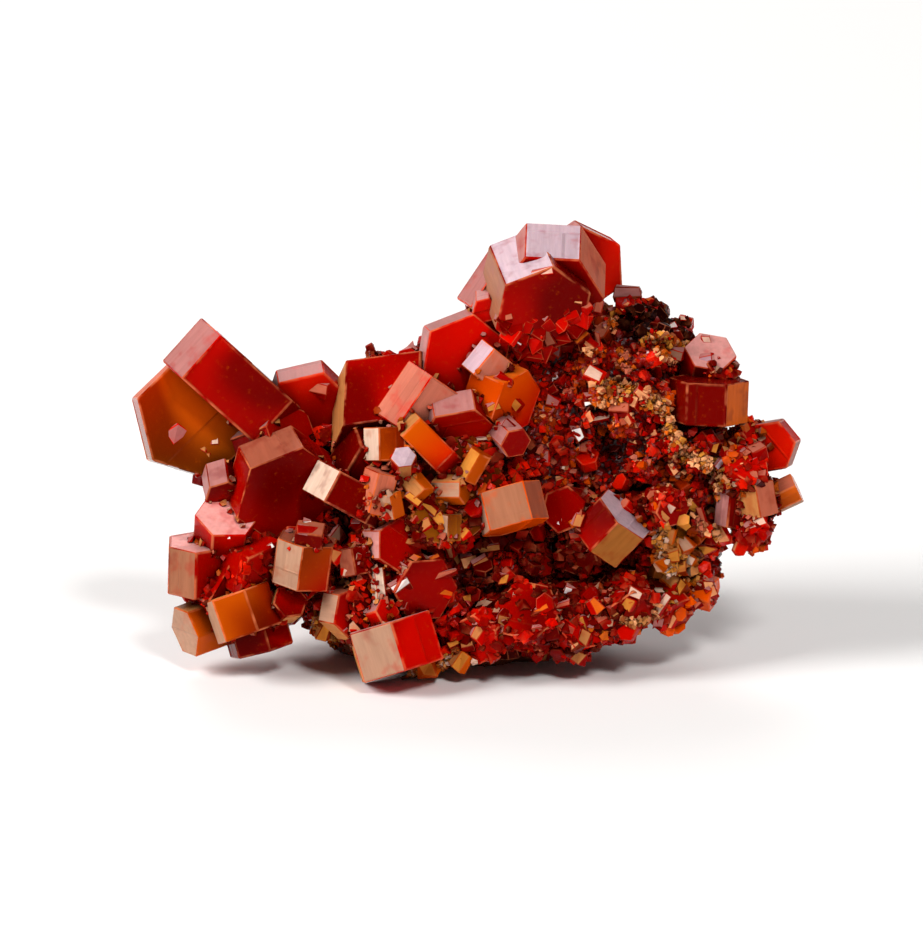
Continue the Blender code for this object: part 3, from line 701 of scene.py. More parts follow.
def large_crystal(crystal, sizes, colours, rng):
    """A crystal with worn edges and stepped faces, in its place."""
    beveled = bmesh.new()
    add_layers(beveled)
    add_hexagon(beveled, crystal)
    worn = min(sizes.bevel / MM, crystal.flats * WORN_SHARE)
    bmesh.ops.bevel(beveled, geom=beveled.edges[:], offset=worn, offset_type="OFFSET", segments=1,
                    profile=0.5, affect="EDGES", material=-1)
    # A bevel leaves gaps in the list of faces, which cuts would fill in another order each run.
    bm = beveled.copy()
    beveled.free()
    mains = sorted(bm.faces, key=lambda face: face.calc_area())[-MAIN_FACES:]
    body = getattr(colours, crystal.body)
    paint_faces(bm, bm.faces, body, body, 0)
    set_rim(bm, bm.faces, 1)
    # Each face gets its film, and a painted sheen where it looks towards the light.
    films = film_and_sheen_names(crystal, [face.normal.copy() for face in mains])
    for face, film in zip(mains, films):
        for patch in cut_patches(bm, face, rng):
            ring = raise_patch(bm, patch, sizes, rng)
            film_colour = varied(getattr(colours, film or "clay"), rng)
            paint_faces(bm, [patch] + ring, varied(body, rng), film_colour, 1 if film else 0)
            set_rim(bm, [patch], 0)
    if crystal.fade:
        fade_body(bm, crystal, colours)
    set_own(bm, bm.verts, rng)
    bmesh.ops.transform(bm, matrix=crystal_matrix(crystal) @ Matrix.Scale(MM, 4), verts=bm.verts)
    return bm


def shift_corner(vert, crystal, share, rng):
    vert.co += Vector((rng.gauss(0, 1), rng.gauss(0, 1), rng.gauss(0, 1))) * crystal.flats * share


def add_grain(bm, crystal, body, film, colours, rng):
    """A grain of the crust: a crystal too small and too crowded to have regular faces."""
    verts = add_hexagon(bm, crystal)
    layer = bm.verts.layers.float["rim"]
    for vert in verts:
        shift_corner(vert, crystal, MISSHAPEN, rng)
        vert[layer] = GRAIN_EDGE * rng.random() ** 3
    faces = faces_of(verts)
    paint_faces(bm, faces, varied(body, rng), body, 0)
    for face in faces:
        face.normal_update()
        # A face that looks towards the light gets a painted sheen.
        if film and in_view(face.normal, crystal).dot(PAINTED_SHEEN_SIDE) > rng.uniform(*GRAIN_SHEEN_FROM):
            paint_faces(bm, [face], body, varied(getattr(colours, film), rng), rng.uniform(*GRAIN_SHEEN))
    set_own(bm, verts, rng)
    bmesh.ops.transform(bm, matrix=crystal_matrix(crystal) @ Matrix.Scale(MM, 4), verts=verts)


def add_small_crystal(bm, crystal, body, film, colours, rng):
    """A small crystal with a rim round each face that has a painted glow, in its place."""
    verts = add_hexagon(bm, crystal)
    for vert in verts:
        shift_corner(vert, crystal, MISSHAPEN if crystal.films else SLIGHTLY_MISSHAPEN, rng)
    faces = faces_of(verts)
    paint_faces(bm, faces, varied(body, rng, SMALL_SHADES), body, 0)
    set_rim(bm, faces, SMALL_EDGE)
    bmesh.ops.inset_individual(bm, faces=faces, thickness=crystal.flats * SMALL_RIM,
                               depth=crystal.flats * SMALL_STEP, use_even_offset=True)
    set_rim(bm, faces, 0)
    if crystal.films:
        films = film_and_sheen_names(crystal, [face.normal for face in faces])
    else:
        # A face that looks towards the light gets a painted sheen.
        films = [film if in_view(face.normal, crystal).dot(PAINTED_SHEEN_SIDE) > rng.uniform(*SMALL_SHEEN_FROM)
                 else None for face in faces]
    for face, name in zip(faces, films):
        if name:
            film_colour = varied(getattr(colours, name), rng, SMALL_FILM_AND_SHEEN_SHADES)
            paint_faces(bm, [face], body, film_colour, rng.uniform(*SMALL_FILM_AND_SHEEN))
    made = verts_of(faces_of(verts) + faces)
    set_own(bm, made, rng)
    bmesh.ops.transform(bm, matrix=crystal_matrix(crystal) @ Matrix.Scale(MM, 4), verts=made)


def new_object(name, mesh, material):
    mesh.materials.clear()
    mesh.materials.append(material)
    made = bpy.data.objects.new(name, mesh)
    bpy.context.collection.objects.link(made)
    return made


def gather(name, parts, material):
    """One object of several bmeshes, which are freed."""
    whole = bmesh.new()
    add_layers(whole)
    for part in parts:
        mesh = bpy.data.meshes.new(name)
        part.to_mesh(mesh)
        part.free()
        whole.from_mesh(mesh)
        bpy.data.meshes.remove(mesh)
    mesh = bpy.data.meshes.new(name)
    whole.to_mesh(mesh)
    whole.free()
    return new_object(name, mesh, material)


def small_crystals(crystals, colours, rng):
    """Bmeshes of small crystals, each given as a crystal and the name of its film and painted sheen."""
    parts = []
    for start in range(0, len(crystals), BATCH):
        bm = bmesh.new()
        add_layers(bm)
        for crystal, film in crystals[start:start + BATCH]:
            add = add_grain if crystal.flats < GRAIN_BELOW and not crystal.films else add_small_crystal
            add(bm, crystal, getattr(colours, crystal.body), film, colours, rng)
        parts.append(bm)
    return parts


def random_ways(count, rng):
    """Unit vectors in all directions."""
    ways = rng.normal(size=(count, 3))
    return ways / np.linalg.norm(ways, axis=1, keepdims=True)


def surface_points(mesh, count, rng):
    """Random points on a mesh's faces and the normals there."""
    mesh.calc_loop_triangles()
    triangles = mesh.loop_triangles
    corners = np.array([[mesh.vertices[place].co for place in item.vertices] for item in triangles])
    areas = np.array([item.area for item in triangles])
    normals = np.array([item.normal for item in triangles])
    chosen = rng.choice(len(areas), size=count, p=areas / areas.sum())
    first, second = rng.random((2, count, 1))
    swap = first + second > 1
    first, second = np.where(swap, 1 - first, first), np.where(swap, 1 - second, second)
    start, one, two = corners[chosen].transpose(1, 0, 2)
    return start + (one - start) * first + (two - start) * second, normals[chosen]


# A zone of the crust seen from the front: its middle and half sizes, the bodies of its grains from the
# ridges down to the recesses, darker further down as painted shade, their films, which are painted sheen,
# their sizes in millimetres, and the share of the places tried for a stud, a larger crystal, that may have
# one.
Zone = namedtuple("Zone", "across up wide tall bodies films size studs")

ZONES = [
    # The ochre lump at the right foot, and the two lumps under the front crystals.
    Zone(15.5, -7.1, 1.9, 3.3, ("ochre", "tan", "olive", "amber"),
         ("ochre", "tan", "cream"), (0.3, 0.8), 0.3),
    Zone(-3.4, -15.4, 4.0, 1.7, ("ochre", "olive", "tan", "amber"),
         ("ochre", "tan", "peach"), (0.3, 0.8), 0.3),
    Zone(-10.6, -13.6, 1.7, 3.0, ("ochre", "olive", "tan", "amber"),
         ("ochre", "tan", None), (0.3, 0.8), 0.3),
    # The two dark hollows, whose black and dark grains are painted shade.
    Zone(14.3, 10.7, 3.6, 1.7, ("black", "black", "dark"), (None,), (0.4, 0.9), 0.3),
    Zone(7.8, -7.0, 5.0, 2.0, ("dark", "dark", "deep"), (None,), (0.3, 0.8), 0.2),
    # The foot, the crest's surroundings, the right end, the rest of the right half, and the left half.
    Zone(6.0, -12.0, 8.5, 3.2, ("red", "red", "deep", "deep", "dark"),
         (None,) * 8 + ("salmon", "rust", "tan"), (0.25, 0.8), 0.3),
    Zone(13.5, 4.0, 9.0, 8.0, ("orange", "bright", "bright", "red", "red", "deep"),
         (None,) * 4 + ("salmon", "peach", "coral"), (0.2, 0.6), 0.1),
    Zone(19.0, -3.0, 7.0, 12.0, ("orange", "bright", "bright", "red", "red", "deep"),
         (None,) * 5 + ("salmon", "peach", "coral"), (0.25, 0.9), 0.3),
    Zone(12.0, -2.0, 14.0, 16.0, ("bright", "red", "deep", "deep", "dark"),
         (None,) * 10 + ("salmon", "rust"), (0.25, 0.8), 0.3),
    Zone(-10.0, 0.0, 18.0, 20.0, ("bright", "red", "deep", "deep", "dark"),
         (None,) * 8 + ("salmon", "tan"), (0.25, 0.8), 0.2),
]
BACK_ZONE = Zone(0, 0, 1, 1, ("red", "deep", "deep", "deep", "dark", "dark"),
                 (None,) * 4 + ("rose", "tan"), (0.4, 1.2), 0.8)

# The zones reach back to this place in the view.
FRONT_FROM = -4.0

# The recesses' width in millimetres, how steep their sides are, how far the grains' bodies mix, and the
# depth from which grains have no painted sheen.
RECESS_SIZE = 2.0
RECESS_CONTRAST = 1.5
BODY_MIX = 0.15
NO_PAINTED_SHEEN_FROM = 0.6


def zone_at(place):
    """The zone of the crust that a place in the view lies in."""
    if place[2] < FRONT_FROM:
        return BACK_ZONE
    for zone in ZONES:
        if ((place[0] - zone.across) / zone.wide) ** 2 + ((place[1] - zone.up) / zone.tall) ** 2 < 1:
            return zone
    return BACK_ZONE


def recess(place):
    """How deep in the crust a place in the view lies: 0 on its ridges and 1 in its recesses."""
    return min(max(0.5 + RECESS_CONTRAST * noise.noise(place / RECESS_SIZE), 0), 1)


def grain_colours(zone, place, pick):
    """The body and film of a grain: the further down a zone's list, the deeper in the crust it lies.

    Darker bodies deeper in the crust are painted shade, and only grains on and near the ridges get the
    painted sheen.
    """
    share = min(max(recess(place) + pick.uniform(-BODY_MIX, BODY_MIX), 0), 0.999)
    film = pick.choice(zone.films)
    return zone.bodies[int(share * len(zone.bodies))], film if share < NO_PAINTED_SHEEN_FROM else None


class Spacing:
    """Keeps crystals apart, with the places taken so far in a grid of cells wider than any of them."""

    def __init__(self, cell):
        self.cell = cell
        self.taken = {}

    def is_free(self, place, reach):
        home = [math.floor(part / self.cell) for part in place]
        for x in range(home[0] - 1, home[0] + 2):
            for y in range(home[1] - 1, home[1] + 2):
                for z in range(home[2] - 1, home[2] + 2):
                    for other, size in self.taken.get((x, y, z), ()):
                        if (other - place).length < (reach + size) / 2:
                            return False
        return True

    def take(self, place, reach):
        home = tuple(math.floor(part / self.cell) for part in place)
        self.taken.setdefault(home, []).append((place, reach))


# Studs are tried at one in this many places. Sizes are in millimetres.
STUD_PLACES = 12
STUD_SIZES = (0.7, 1.5)

# The cells of the grid that keeps the crust's crystals apart, in millimetres. How far a crystal stands off
# from others when its place is sought, how much room it then keeps and how far its middle is sunk are
# parts of its width.
CRUST_CELL = 2.4
STUD_ROOM = 1.25
STUD_KEEPS = 0.8
GRAIN_ROOM = 0.68
SUNK = 0.2

# How far the crust leans away from upright, and how far it stays off the large crystals and the floor.
CRUST_LEAN = (0.3, 1.1)
CLEAR_OF_PRISMS = 0.2
CLEAR_OF_OTHERS = 0.1
CLEAR_OF_FLOOR = 0.9

# Crystals near a vein are of these sizes. A vein covers squares of the view of this size, as far out as
# this part of its spread.
VEIN_SIZES = (0.2, 0.5)
VEIN_SQUARE = 0.15
VEIN_REACH = 1.2


def crystal_mesh(crystal):
    """A plain mesh of a crystal in its place."""
    bm = bmesh.new()
    add_hexagon(bm, crystal)
    bmesh.ops.transform(bm, matrix=crystal_matrix(crystal) @ Matrix.Scale(MM, 4), verts=bm.verts)
    mesh = bpy.data.meshes.new("crystal")
    bm.to_mesh(mesh)
    bm.free()
    return mesh


def nearest_crystal(points, crystals):
    """How far each point lies outside the nearest of the crystals, in millimetres, negative inside."""
    return np.min([distance_outside(points, crystal) for crystal in crystals], axis=0)


def crust_places(rock, count, crystals, rng):
    """Random places on the rock and on the crystals that the crust grew over, and the normals there."""
    points, normals = surface_points(rock, count, rng)
    clear = nearest_crystal(points, crystals) > CLEAR_OF_PRISMS
    found = [(points[clear], normals[clear])]
    area = sum(face.area for face in rock.polygons)
    for crystal in crystals:
        if not crystal.cover:
            continue
        mesh = crystal_mesh(crystal)
        share = sum(face.area for face in mesh.polygons) / area * crystal.cover
        points, normals = surface_points(mesh, round(count * share), rng)
        bpy.data.meshes.remove(mesh)
        others = [other for other in crystals if other != crystal]
        clear = nearest_crystal(points, others) > CLEAR_OF_OTHERS
        found.append((points[clear], normals[clear]))
    points = np.concatenate([item[0] for item in found])
    normals = np.concatenate([item[1] for item in found])
    order = rng.permutation(len(points))
    return points[order], normals[order]


def crust_crystals(rock, count, crystals, seed):
    """Crystals that stand on the rock at many angles, clear of the large ones: a few studs, then grains."""
    rng = np.random.default_rng(seed)
    pick = random.Random(seed)
    points, normals = crust_places(rock, count, crystals, rng)
    ways = normals + random_ways(len(points), rng) * rng.uniform(*CRUST_LEAN, (len(points), 1))
    spacing = Spacing(CRUST_CELL)
    squares = vein_squares()
    made = []
    studs = len(points) // STUD_PLACES
    for number, (point, way) in enumerate(zip(points, ways)):
        stud = number < studs
        place = world_to_view(Vector(point))
        zone = zone_at(place)
        if stud and pick.random() > zone.studs:
            continue
        vein = vein_at(place, squares)
        if stud and vein:
            continue
        low, high = STUD_SIZES if stud else VEIN_SIZES if vein else zone.size
        flats = low + (high - low) * pick.random() ** 1.5
        room = flats * (STUD_ROOM if stud else GRAIN_ROOM)
        if is_below_base(place, max(flats, CLEAR_OF_FLOOR)) or not spacing.is_free(place, room):
            continue
        spacing.take(place, flats * STUD_KEEPS if stud else room)
        body, film = grain_colours(zone, place, pick)
        if vein:
            body = pick.choice(vein.films)
        turn, lean = turn_and_lean(seen_way(way).normalized())
        place -= seen_way(Vector(way).normalized()) * flats * SUNK
        crystal = Crystal(*place, turn, lean, pick.uniform(0, 60), flats, flats * pick.uniform(0.6, 1.1),
                          body, flats * HEX_FACE * pick.uniform(0.7, 1.6))
        made.append((crystal, film))
    return made


def vein_squares():
    """The vein on each square of the view that one covers."""
    squares = {}
    for vein in VEINS:
        reach = math.ceil(vein.spread * VEIN_REACH / VEIN_SQUARE)
        disc = [(x, y) for x in range(-reach, reach + 1) for y in range(-reach, reach + 1)
                if x * x + y * y <= reach * reach]
        for start, end in zip(vein.turns, vein.turns[1:]):
            run = Vector(end) - Vector(start)
            steps = math.ceil(run.length / VEIN_SQUARE)
            for step in range(steps):
                place = (Vector(start) + run * step / steps) / VEIN_SQUARE
                for x, y in disc:
                    squares[round(place.x) + x, round(place.y) + y] = vein
    return squares


def vein_at(place, squares):
    """The vein that covers a place in the view, from the squares that the veins cover."""
    if place.z <= FRONT_FROM:
        return None
    return squares.get((round(place.x / VEIN_SQUARE), round(place.y / VEIN_SQUARE)))


# A place in the view that is nearer than the whole specimen.
BEFORE_ALL = 40


def surface_trees(pieces):
    """Search trees of the pieces' faces, for surface_near."""
    graph = bpy.context.evaluated_depsgraph_get()
    return [BVHTree.FromObject(piece, graph) for piece in pieces]


def surface_near(trees, across, up):
    """How near to the viewer the surface lies at a place in the view, and None beside the specimen."""
    start = view_to_world((across, up, BEFORE_ALL))
    away = view_axes() @ Vector((0, 0, -1))
    hits = [tree.ray_cast(start, away)[0] for tree in trees]
    return max((world_to_view(hit).z for hit in hits if hit), default=None)


# A string of pale crumbs: half its width, the colours of its crumbs, and its turns in the view.
Vein = namedtuple("Vein", "spread films turns")

VEINS = [
    # The crest that winds down the right half.
    Vein(0.26, ("peach", "peach", "peach", "rust", "ochre"),
         [(8.8, 7.0), (10.0, 6.1), (11.7, 5.8), (12.8, 5.2), (13.9, 4.9), (14.8, 4.0), (15.2, 2.7),
          (15.7, 1.5), (16.5, 0.6), (17.7, 0.2), (18.5, -0.7), (18.9, -1.8), (18.7, -2.7), (19.0, -3.7),
          (18.7, -4.6), (18.9, -5.6)]),
    # The second strands beside it.
    Vein(0.24, ("rust", "peach", "ochre", "red"), [(10.2, 5.5), (11.5, 5.3), (12.8, 4.8), (13.9, 4.2)]),
    Vein(0.26, ("rust", "peach", "red"), [(15.0, 2.2), (15.3, 1.2), (15.6, 0.5)]),
    Vein(0.15, ("peach", "rust"), [(9.6, 4.6), (10.4, 4.9), (11.0, 4.6), (11.9, 3.8)]),
    # The arcs between the crest and the upper hollow.
    Vein(0.18, ("rust", "ochre", "peach", "red"),
         [(12.9, 9.4), (13.9, 9.7), (14.8, 9.5), (15.6, 9.1), (16.4, 8.9), (16.8, 8.3), (16.6, 7.8)]),
    Vein(0.16, ("peach", "rust", "red"),
         [(13.9, 9.2), (14.2, 8.4), (14.9, 7.9), (15.8, 7.7), (16.5, 7.3), (17.3, 6.6)]),
    Vein(0.13, ("rust", "peach"), [(10.2, 12.5), (10.5, 11.9), (10.9, 11.4), (10.7, 10.3)]),
    Vein(0.16, ("rust", "peach", "red"), [(7.3, 9.2), (8.2, 9.6), (8.9, 9.1), (9.1, 8.4)]),
    Vein(0.13, ("rust", "salmon"), [(11.2, 8.8), (11.6, 8.2), (11.2, 7.4), (12.0, 7.2)]),
    Vein(0.16, ("rust", "ochre"), [(16.1, 13.0), (16.3, 12.3), (16.0, 11.6)]),
    # The strings at the right foot, and the lumps under the block at the foot.
    Vein(0.14, ("salmon", "peach"), [(16.6, -2.9), (17.2, -4.0), (17.6, -5.2)]),
    Vein(0.14, ("tan", "peach"), [(11.2, -11.5), (12.8, -11.8), (13.8, -11.3), (14.4, -10.4)]),
    Vein(0.5, ("ochre", "tan", "cream", "amber"),
         [(-7.0, -14.9), (-4.5, -15.6), (-2.0, -15.3), (-0.2, -14.6)]),
    Vein(0.4, ("ochre", "tan", "amber"), [(-11.2, -11.8), (-10.8, -13.5), (-9.8, -15.2)]),
    Vein(0.2, ("ochre", "tan", "cream"),
         [(14.2, -4.9), (14.4, -6.0), (14.2, -7.0), (15.0, -8.0), (15.9, -8.8)]),
]

# Crumbs for each millimetre of a vein's length and of its spread, their widths in millimetres, and how
# far they stand out.
CRUMBS_PER_AREA = 170
CRUMB_SIZES = (0.14, 0.36)
CRUMB_RISE = 0.35


def crest_crystals(trees, seed):
    """Pale crumbs along the veins."""
    pick = random.Random(seed)
    made = []
    for vein in VEINS:
        for start, end in zip(vein.turns, vein.turns[1:]):
            run = Vector(end) - Vector(start)
            for _ in range(round(run.length * vein.spread * CRUMBS_PER_AREA)):
                off = Vector((pick.gauss(0, vein.spread), pick.gauss(0, vein.spread)))
                place = Vector(start) + run * pick.random() + off
                near = surface_near(trees, *place)
                flats = pick.uniform(*CRUMB_SIZES)
                if near is None or is_below_base((*place, near), 2 * flats):
                    continue
                film = pick.choice(vein.films)
                crystal = Crystal(*place, near + pick.uniform(0, CRUMB_RISE), pick.uniform(0, 360),
                                  pick.uniform(-90, 90), pick.uniform(0, 60), flats,
                                  flats * pick.uniform(0.8, 2.0), film)
                made.append((crystal, film))
    return made


# A single face in the crust: its middle in the view, the turn, length and width of its outline, and its
# film, or None for a clear one. Glint faces are painted highlights, and rose, pink and lavender ones are
# painted sheen.
Chip = namedtuple("Chip", "across up turn long wide film")

CHIPS = [Chip(*row) for row in (
    # Round the summit and the upper hollow.
    (5.4, 14.4, 12, 1.5, 0.35, "cream"), (9.6, 11.9, 80, 1.0, 0.6, "salmon"),
    (11.9, 12.8, 0, 2.0, 0.9, "rose"), (11.7, 12.0, 40, 0.8, 0.3, "peach"),
    (10.8, 11.4, 20, 0.5, 0.5, "ochre"), (14.4, 13.0, 5, 0.8, 0.4, "rose"),
    (15.2, 13.3, -50, 1.0, 0.35, "peach"), (16.2, 12.9, -60, 0.9, 0.6, "tan"),
    (16.1, 12.0, 70, 0.8, 0.5, "ochre"), (16.1, 11.1, 0, 0.4, 0.4, "cream"),
    (15.3, 10.5, 20, 0.5, 0.35, "glint"), (17.5, 10.8, -15, 0.6, 0.4, "glint"),
    (17.7, 10.3, 60, 0.6, 0.4, "tan"), (17.7, 9.4, 0, 0.5, 0.5, "cream"),
    # Below the summit, down to the hollow in the middle.
    (6.3, 8.7, 60, 0.9, 0.8, "rose"), (3.6, 9.2, -30, 0.6, 0.3, "glint"),
    (4.1, 8.5, 15, 0.6, 0.25, "glint"), (8.9, 9.0, -50, 0.9, 0.6, "peach"),
    (9.6, 9.2, 102, 1.5, 0.3, "salmon"), (10.1, 10.5, 0, 0.3, 0.3, "rose"),
    (9.3, 6.7, -25, 1.4, 0.8, "cream"), (6.4, 6.6, 0, 0.55, 0.4, "glint"),
    (6.2, 4.8, -15, 1.1, 0.5, "rose"), (9.0, 5.0, 10, 1.0, 0.55, "glint"),
    (7.4, 4.0, 80, 0.6, 0.2, "rose"), (9.6, 3.5, 15, 1.8, 0.22, "cream"),
    (8.1, 2.4, -62, 1.15, 0.65, "glint"), (8.6, 1.4, 80, 0.8, 0.6, "clay"),
    (5.8, 0.6, 5, 0.8, 0.75, "rose"), (7.1, 0.0, 80, 0.5, 0.4, "cream"),
    (8.7, -1.0, 15, 0.35, 0.2, "rose"),
    # The upper bend of the crest.
    (12.4, 8.9, 20, 0.5, 0.5, "salmon"), (13.3, 8.4, 0, 0.4, 0.35, "glint"),
    (15.4, 8.3, -5, 1.4, 0.7, "beige"), (17.8, 8.0, 10, 0.8, 0.55, "lavender"),
    # Along the crest.
    (12.8, 5.3, -40, 1.1, 0.5, "peach"), (11.2, 4.3, 0, 1.5, 0.8, "salmon"),
    (12.3, 4.8, 60, 0.9, 0.7, "peach"), (11.7, 3.4, -50, 1.1, 0.7, "peach"),
    (13.8, 2.4, 30, 0.5, 0.5, "peach"), (12.2, 1.8, -5, 0.6, 0.22, "peach"),
    (12.6, 3.0, 80, 0.4, 0.3, "rose"), (15.2, -0.3, -50, 0.9, 0.5, "peach"),
    (15.4, -0.8, -5, 0.7, 0.25, "cream"), (18.8, 0.4, 50, 1.3, 0.4, "lavender"),
    (18.1, 1.5, 70, 0.7, 0.6, "ochre"), (18.6, 2.1, 20, 0.7, 0.4, "salmon"),
    (18.9, -5.3, -65, 1.3, 0.65, "peach"), (21.6, -4.3, 25, 1.2, 0.7, "cream"),
    (20.6, 1.0, 40, 0.5, 0.4, "salmon"),
    # Round the crystal with the lavender end, and the lump at the right foot.
    (8.1, -4.1, 65, 1.0, 0.5, "tan"), (6.8, -4.2, 70, 0.55, 0.25, "glint"),
    (7.9, -5.2, 10, 0.7, 0.5, "clay"), (14.9, -3.1, 60, 0.6, 0.5, "cream"),
    (14.5, -3.7, -40, 0.9, 0.3, "tan"), (16.8, -3.0, -30, 0.7, 0.5, "ochre"),
    (17.4, -3.8, -75, 1.4, 0.3, "salmon"), (15.2, -4.5, 40, 1.0, 0.6, "cream"),
    (15.0, -5.3, 70, 1.2, 0.5, "tan"), (16.0, -6.0, -60, 1.4, 0.8, "beige"),
    (17.7, -6.1, 30, 0.9, 0.8, "ochre"), (14.4, -7.3, -50, 0.9, 0.7, "beige"),
    (15.2, -6.7, 20, 0.8, 0.6, "ochre"), (16.5, -7.0, 60, 0.8, 0.7, "cream"),
    (15.8, -7.7, 10, 1.0, 0.7, "ochre"), (15.0, -8.6, -40, 1.2, 0.9, "tan"),
    (15.8, -9.2, 50, 1.0, 0.8, "ochre"), (12.4, -9.6, -20, 1.0, 0.6, "cream"),
    (12.0, -10.3, 60, 0.8, 0.7, "ochre"), (14.4, -10.3, 62, 1.6, 0.5, "cream"),
    (18.0, -9.3, -80, 1.3, 0.6, "peach"), (17.1, -10.4, 30, 0.6, 0.4, "salmon"),
    (16.5, -11.1, 15, 0.6, 0.25, "salmon"), (15.2, -11.7, 60, 1.0, 0.3, "peach"),
    # Along the foot, from the middle to the right.
    (7.4, -9.3, -30, 0.65, 0.5, "glint"), (3.5, -9.8, 80, 0.5, 0.4, "cream"),
    (2.5, -8.4, 80, 0.7, 0.5, "ochre"), (2.8, -11.5, -20, 1.3, 0.9, "tan"),
    (5.3, -10.8, 32, 1.3, 0.14, "rust"), (6.9, -10.4, 15, 1.2, 0.14, "salmon"),
    (5.3, -12.1, 8, 1.2, 0.35, "clay"), (7.2, -12.0, -35, 1.3, 0.5, "clay"),
    (8.5, -12.0, -72, 1.6, 0.6, "ochre"), (8.6, -13.0, 70, 1.0, 0.8, "tan"),
    (7.8, -13.5, 10, 0.6, 0.4, "peach"), (9.8, -11.4, 15, 0.8, 0.4, "salmon"),
    (9.4, -10.5, -60, 1.0, 0.6, "rust"), (8.1, -14.2, 60, 1.0, 0.8, "tan"),
    (5.7, -14.3, 80, 0.7, 0.4, "tan"), (0.4, -11.8, 0, 0.4, 0.3, "rose"),
    (0.8, -12.6, 60, 0.9, 0.7, "tan"), (10.3, -10.1, 10, 0.4, 0.3, "salmon"),
    (1.3, -6.2, 5, 1.9, 0.4, "tan"), (0.8, -7.2, 25, 1.2, 0.5, "tan"),
    # The knot in the middle and the crystals below it.
    (-4.2, -2.5, -40, 1.3, 0.4, "ochre"), (-3.0, -3.1, -35, 1.5, 0.5, "ochre"),
    (-2.3, -4.0, -60, 1.2, 0.6, "ochre"), (-3.3, -4.5, 30, 0.9, 0.5, "tan"),
    (-0.4, -5.1, 50, 0.8, 0.6, "ochre"), (-1.5, -6.2, -75, 1.3, 0.4, "peach"),
    (-1.0, -7.0, -50, 1.1, 0.4, "tan"), (-0.1, -7.2, 12, 1.1, 0.7, "peach"),
    (-2.7, -6.9, 30, 1.0, 0.16, "rust"), (-1.8, -8.1, 12, 1.8, 0.14, "salmon"),
    (-1.8, -9.5, -15, 0.9, 0.35, "rust"), (-0.2, -10.1, 95, 0.9, 0.4, "ochre"),
    (-1.1, -13.3, 25, 1.0, 0.5, "ochre"), (-5.2, -8.9, 25, 1.5, 0.75, "glint"),
    (-4.8, -7.7, 80, 0.7, 0.5, "beige"), (-4.9, -10.5, 80, 0.6, 0.45, "rose"),
    (-8.4, -4.3, 0, 0.8, 0.35, "glint"), (-9.9, -5.2, 48, 1.1, 0.7, "beige"),
    (-10.2, -6.6, 60, 0.9, 0.8, "tan"), (-9.3, -7.9, 70, 0.5, 0.35, "cream"),
    (0.9, 1.9, 5, 0.9, 0.4, "cream"), (2.9, 3.0, -35, 1.1, 0.4, "rose"),
    (2.6, 6.4, -30, 1.3, 0.4, "salmon"), (3.5, 4.6, -45, 1.0, 0.5, "ochre"),
    (1.7, 4.4, 20, 0.9, 0.4, "ochre"),
    # The lumps under the block at the foot.
    (-3.2, -15.0, 20, 1.4, 1.0, "ochre"), (-1.6, -15.4, -30, 1.2, 0.9, "tan"),
    (-0.6, -14.6, 50, 1.3, 0.8, "ochre"), (-4.6, -15.9, 10, 1.2, 0.7, "ochre"),
    (-2.4, -16.0, 60, 0.9, 0.7, "peach"), (-0.2, -13.4, 10, 1.0, 0.6, "tan"),
    (-10.9, -12.3, 70, 1.3, 0.6, "ochre"), (-10.4, -13.6, 60, 1.2, 0.7, "tan"),
    (-9.8, -14.8, 50, 1.1, 0.6, "ochre"), (-9.0, -15.5, -20, 0.9, 0.6, "tan"),
    # The left end.
    (-12.1, -4.2, -10, 0.6, 0.3, "glint"), (-11.8, -4.9, -8, 2.0, 0.5, "rose"),
    (-11.4, 5.8, -15, 1.6, 0.7, "salmon"), (-22.0, 2.5, 40, 1.0, 0.9, "rose"),
    (-19.1, 2.3, 95, 1.5, 0.5, "cream"), (-19.9, 1.5, 60, 0.9, 0.6, "tan"),
    (-19.9, 0.4, 100, 0.9, 0.7, "tan"), (-20.2, -0.4, 20, 0.7, 0.5, "clay"),
    (-14.8, -6.0, 30, 0.4, 0.3, "glint"), (-18.0, -5.4, 10, 0.3, 0.25, "glint"),
    # The clear ones that grew over the foot of the summit's large face.
    (2.5, 10.7, -50, 1.1, 0.7, None), (3.4, 10.2, 20, 1.0, 0.7, None), (4.3, 10.4, 70, 0.8, 0.6, None),
    (5.1, 10.0, -20, 1.2, 0.8, None), (6.0, 10.4, 35, 0.9, 0.6, None), (6.9, 10.6, -60, 1.2, 0.8, None),
    (7.7, 11.2, 10, 1.0, 0.7, None), (8.6, 11.8, 50, 1.0, 0.7, "salmon"), (2.9, 9.7, 60, 1.2, 0.9, None),
    (3.9, 9.5, -35, 1.2, 0.9, None), (4.9, 9.3, 15, 1.2, 0.9, None), (5.9, 9.6, -70, 1.1, 0.8, "clay"),
    (6.8, 9.7, 25, 1.3, 0.9, None), (7.8, 10.2, -40, 1.2, 0.9, None), (8.5, 10.9, 70, 1.0, 0.8, None),
    (3.9, 8.8, 30, 1.0, 0.8, None), (4.8, 8.4, -15, 1.2, 0.8, None), (5.8, 8.7, 50, 1.2, 0.9, None),
    (7.3, 9.1, 0, 1.1, 0.8, None), (8.2, 9.6, 40, 1.0, 0.8, "rust"), (2.9, 11.1, 10, 0.5, 0.4, "salmon"),
    (4.7, 10.8, -30, 0.5, 0.35, None), (5.6, 11.0, 60, 0.45, 0.35, "rose"),
    (7.2, 11.5, 20, 0.5, 0.4, None), (8.2, 12.2, -20, 0.5, 0.4, "peach"),
)]


# How much of a chip's length and width its rest on the surface is felt over, how far it may stand out
# from the surface at its middle, how deep its face lies below the highest place that was felt, how far it
# stays off the floor, its least width in millimetres and its thickness as a part of its width, and its
# random turn and leans in degrees.
CHIP_FELT = 0.4
CHIP_RISE = 0.5
CHIP_SUNK = 0.08
CHIP_OFF_FLOOR = 0.3
LEAST_CHIP = 0.35
CHIP_THICKNESS = 1.15
CHIP_TURN = 5
CHIP_LEAN = 18


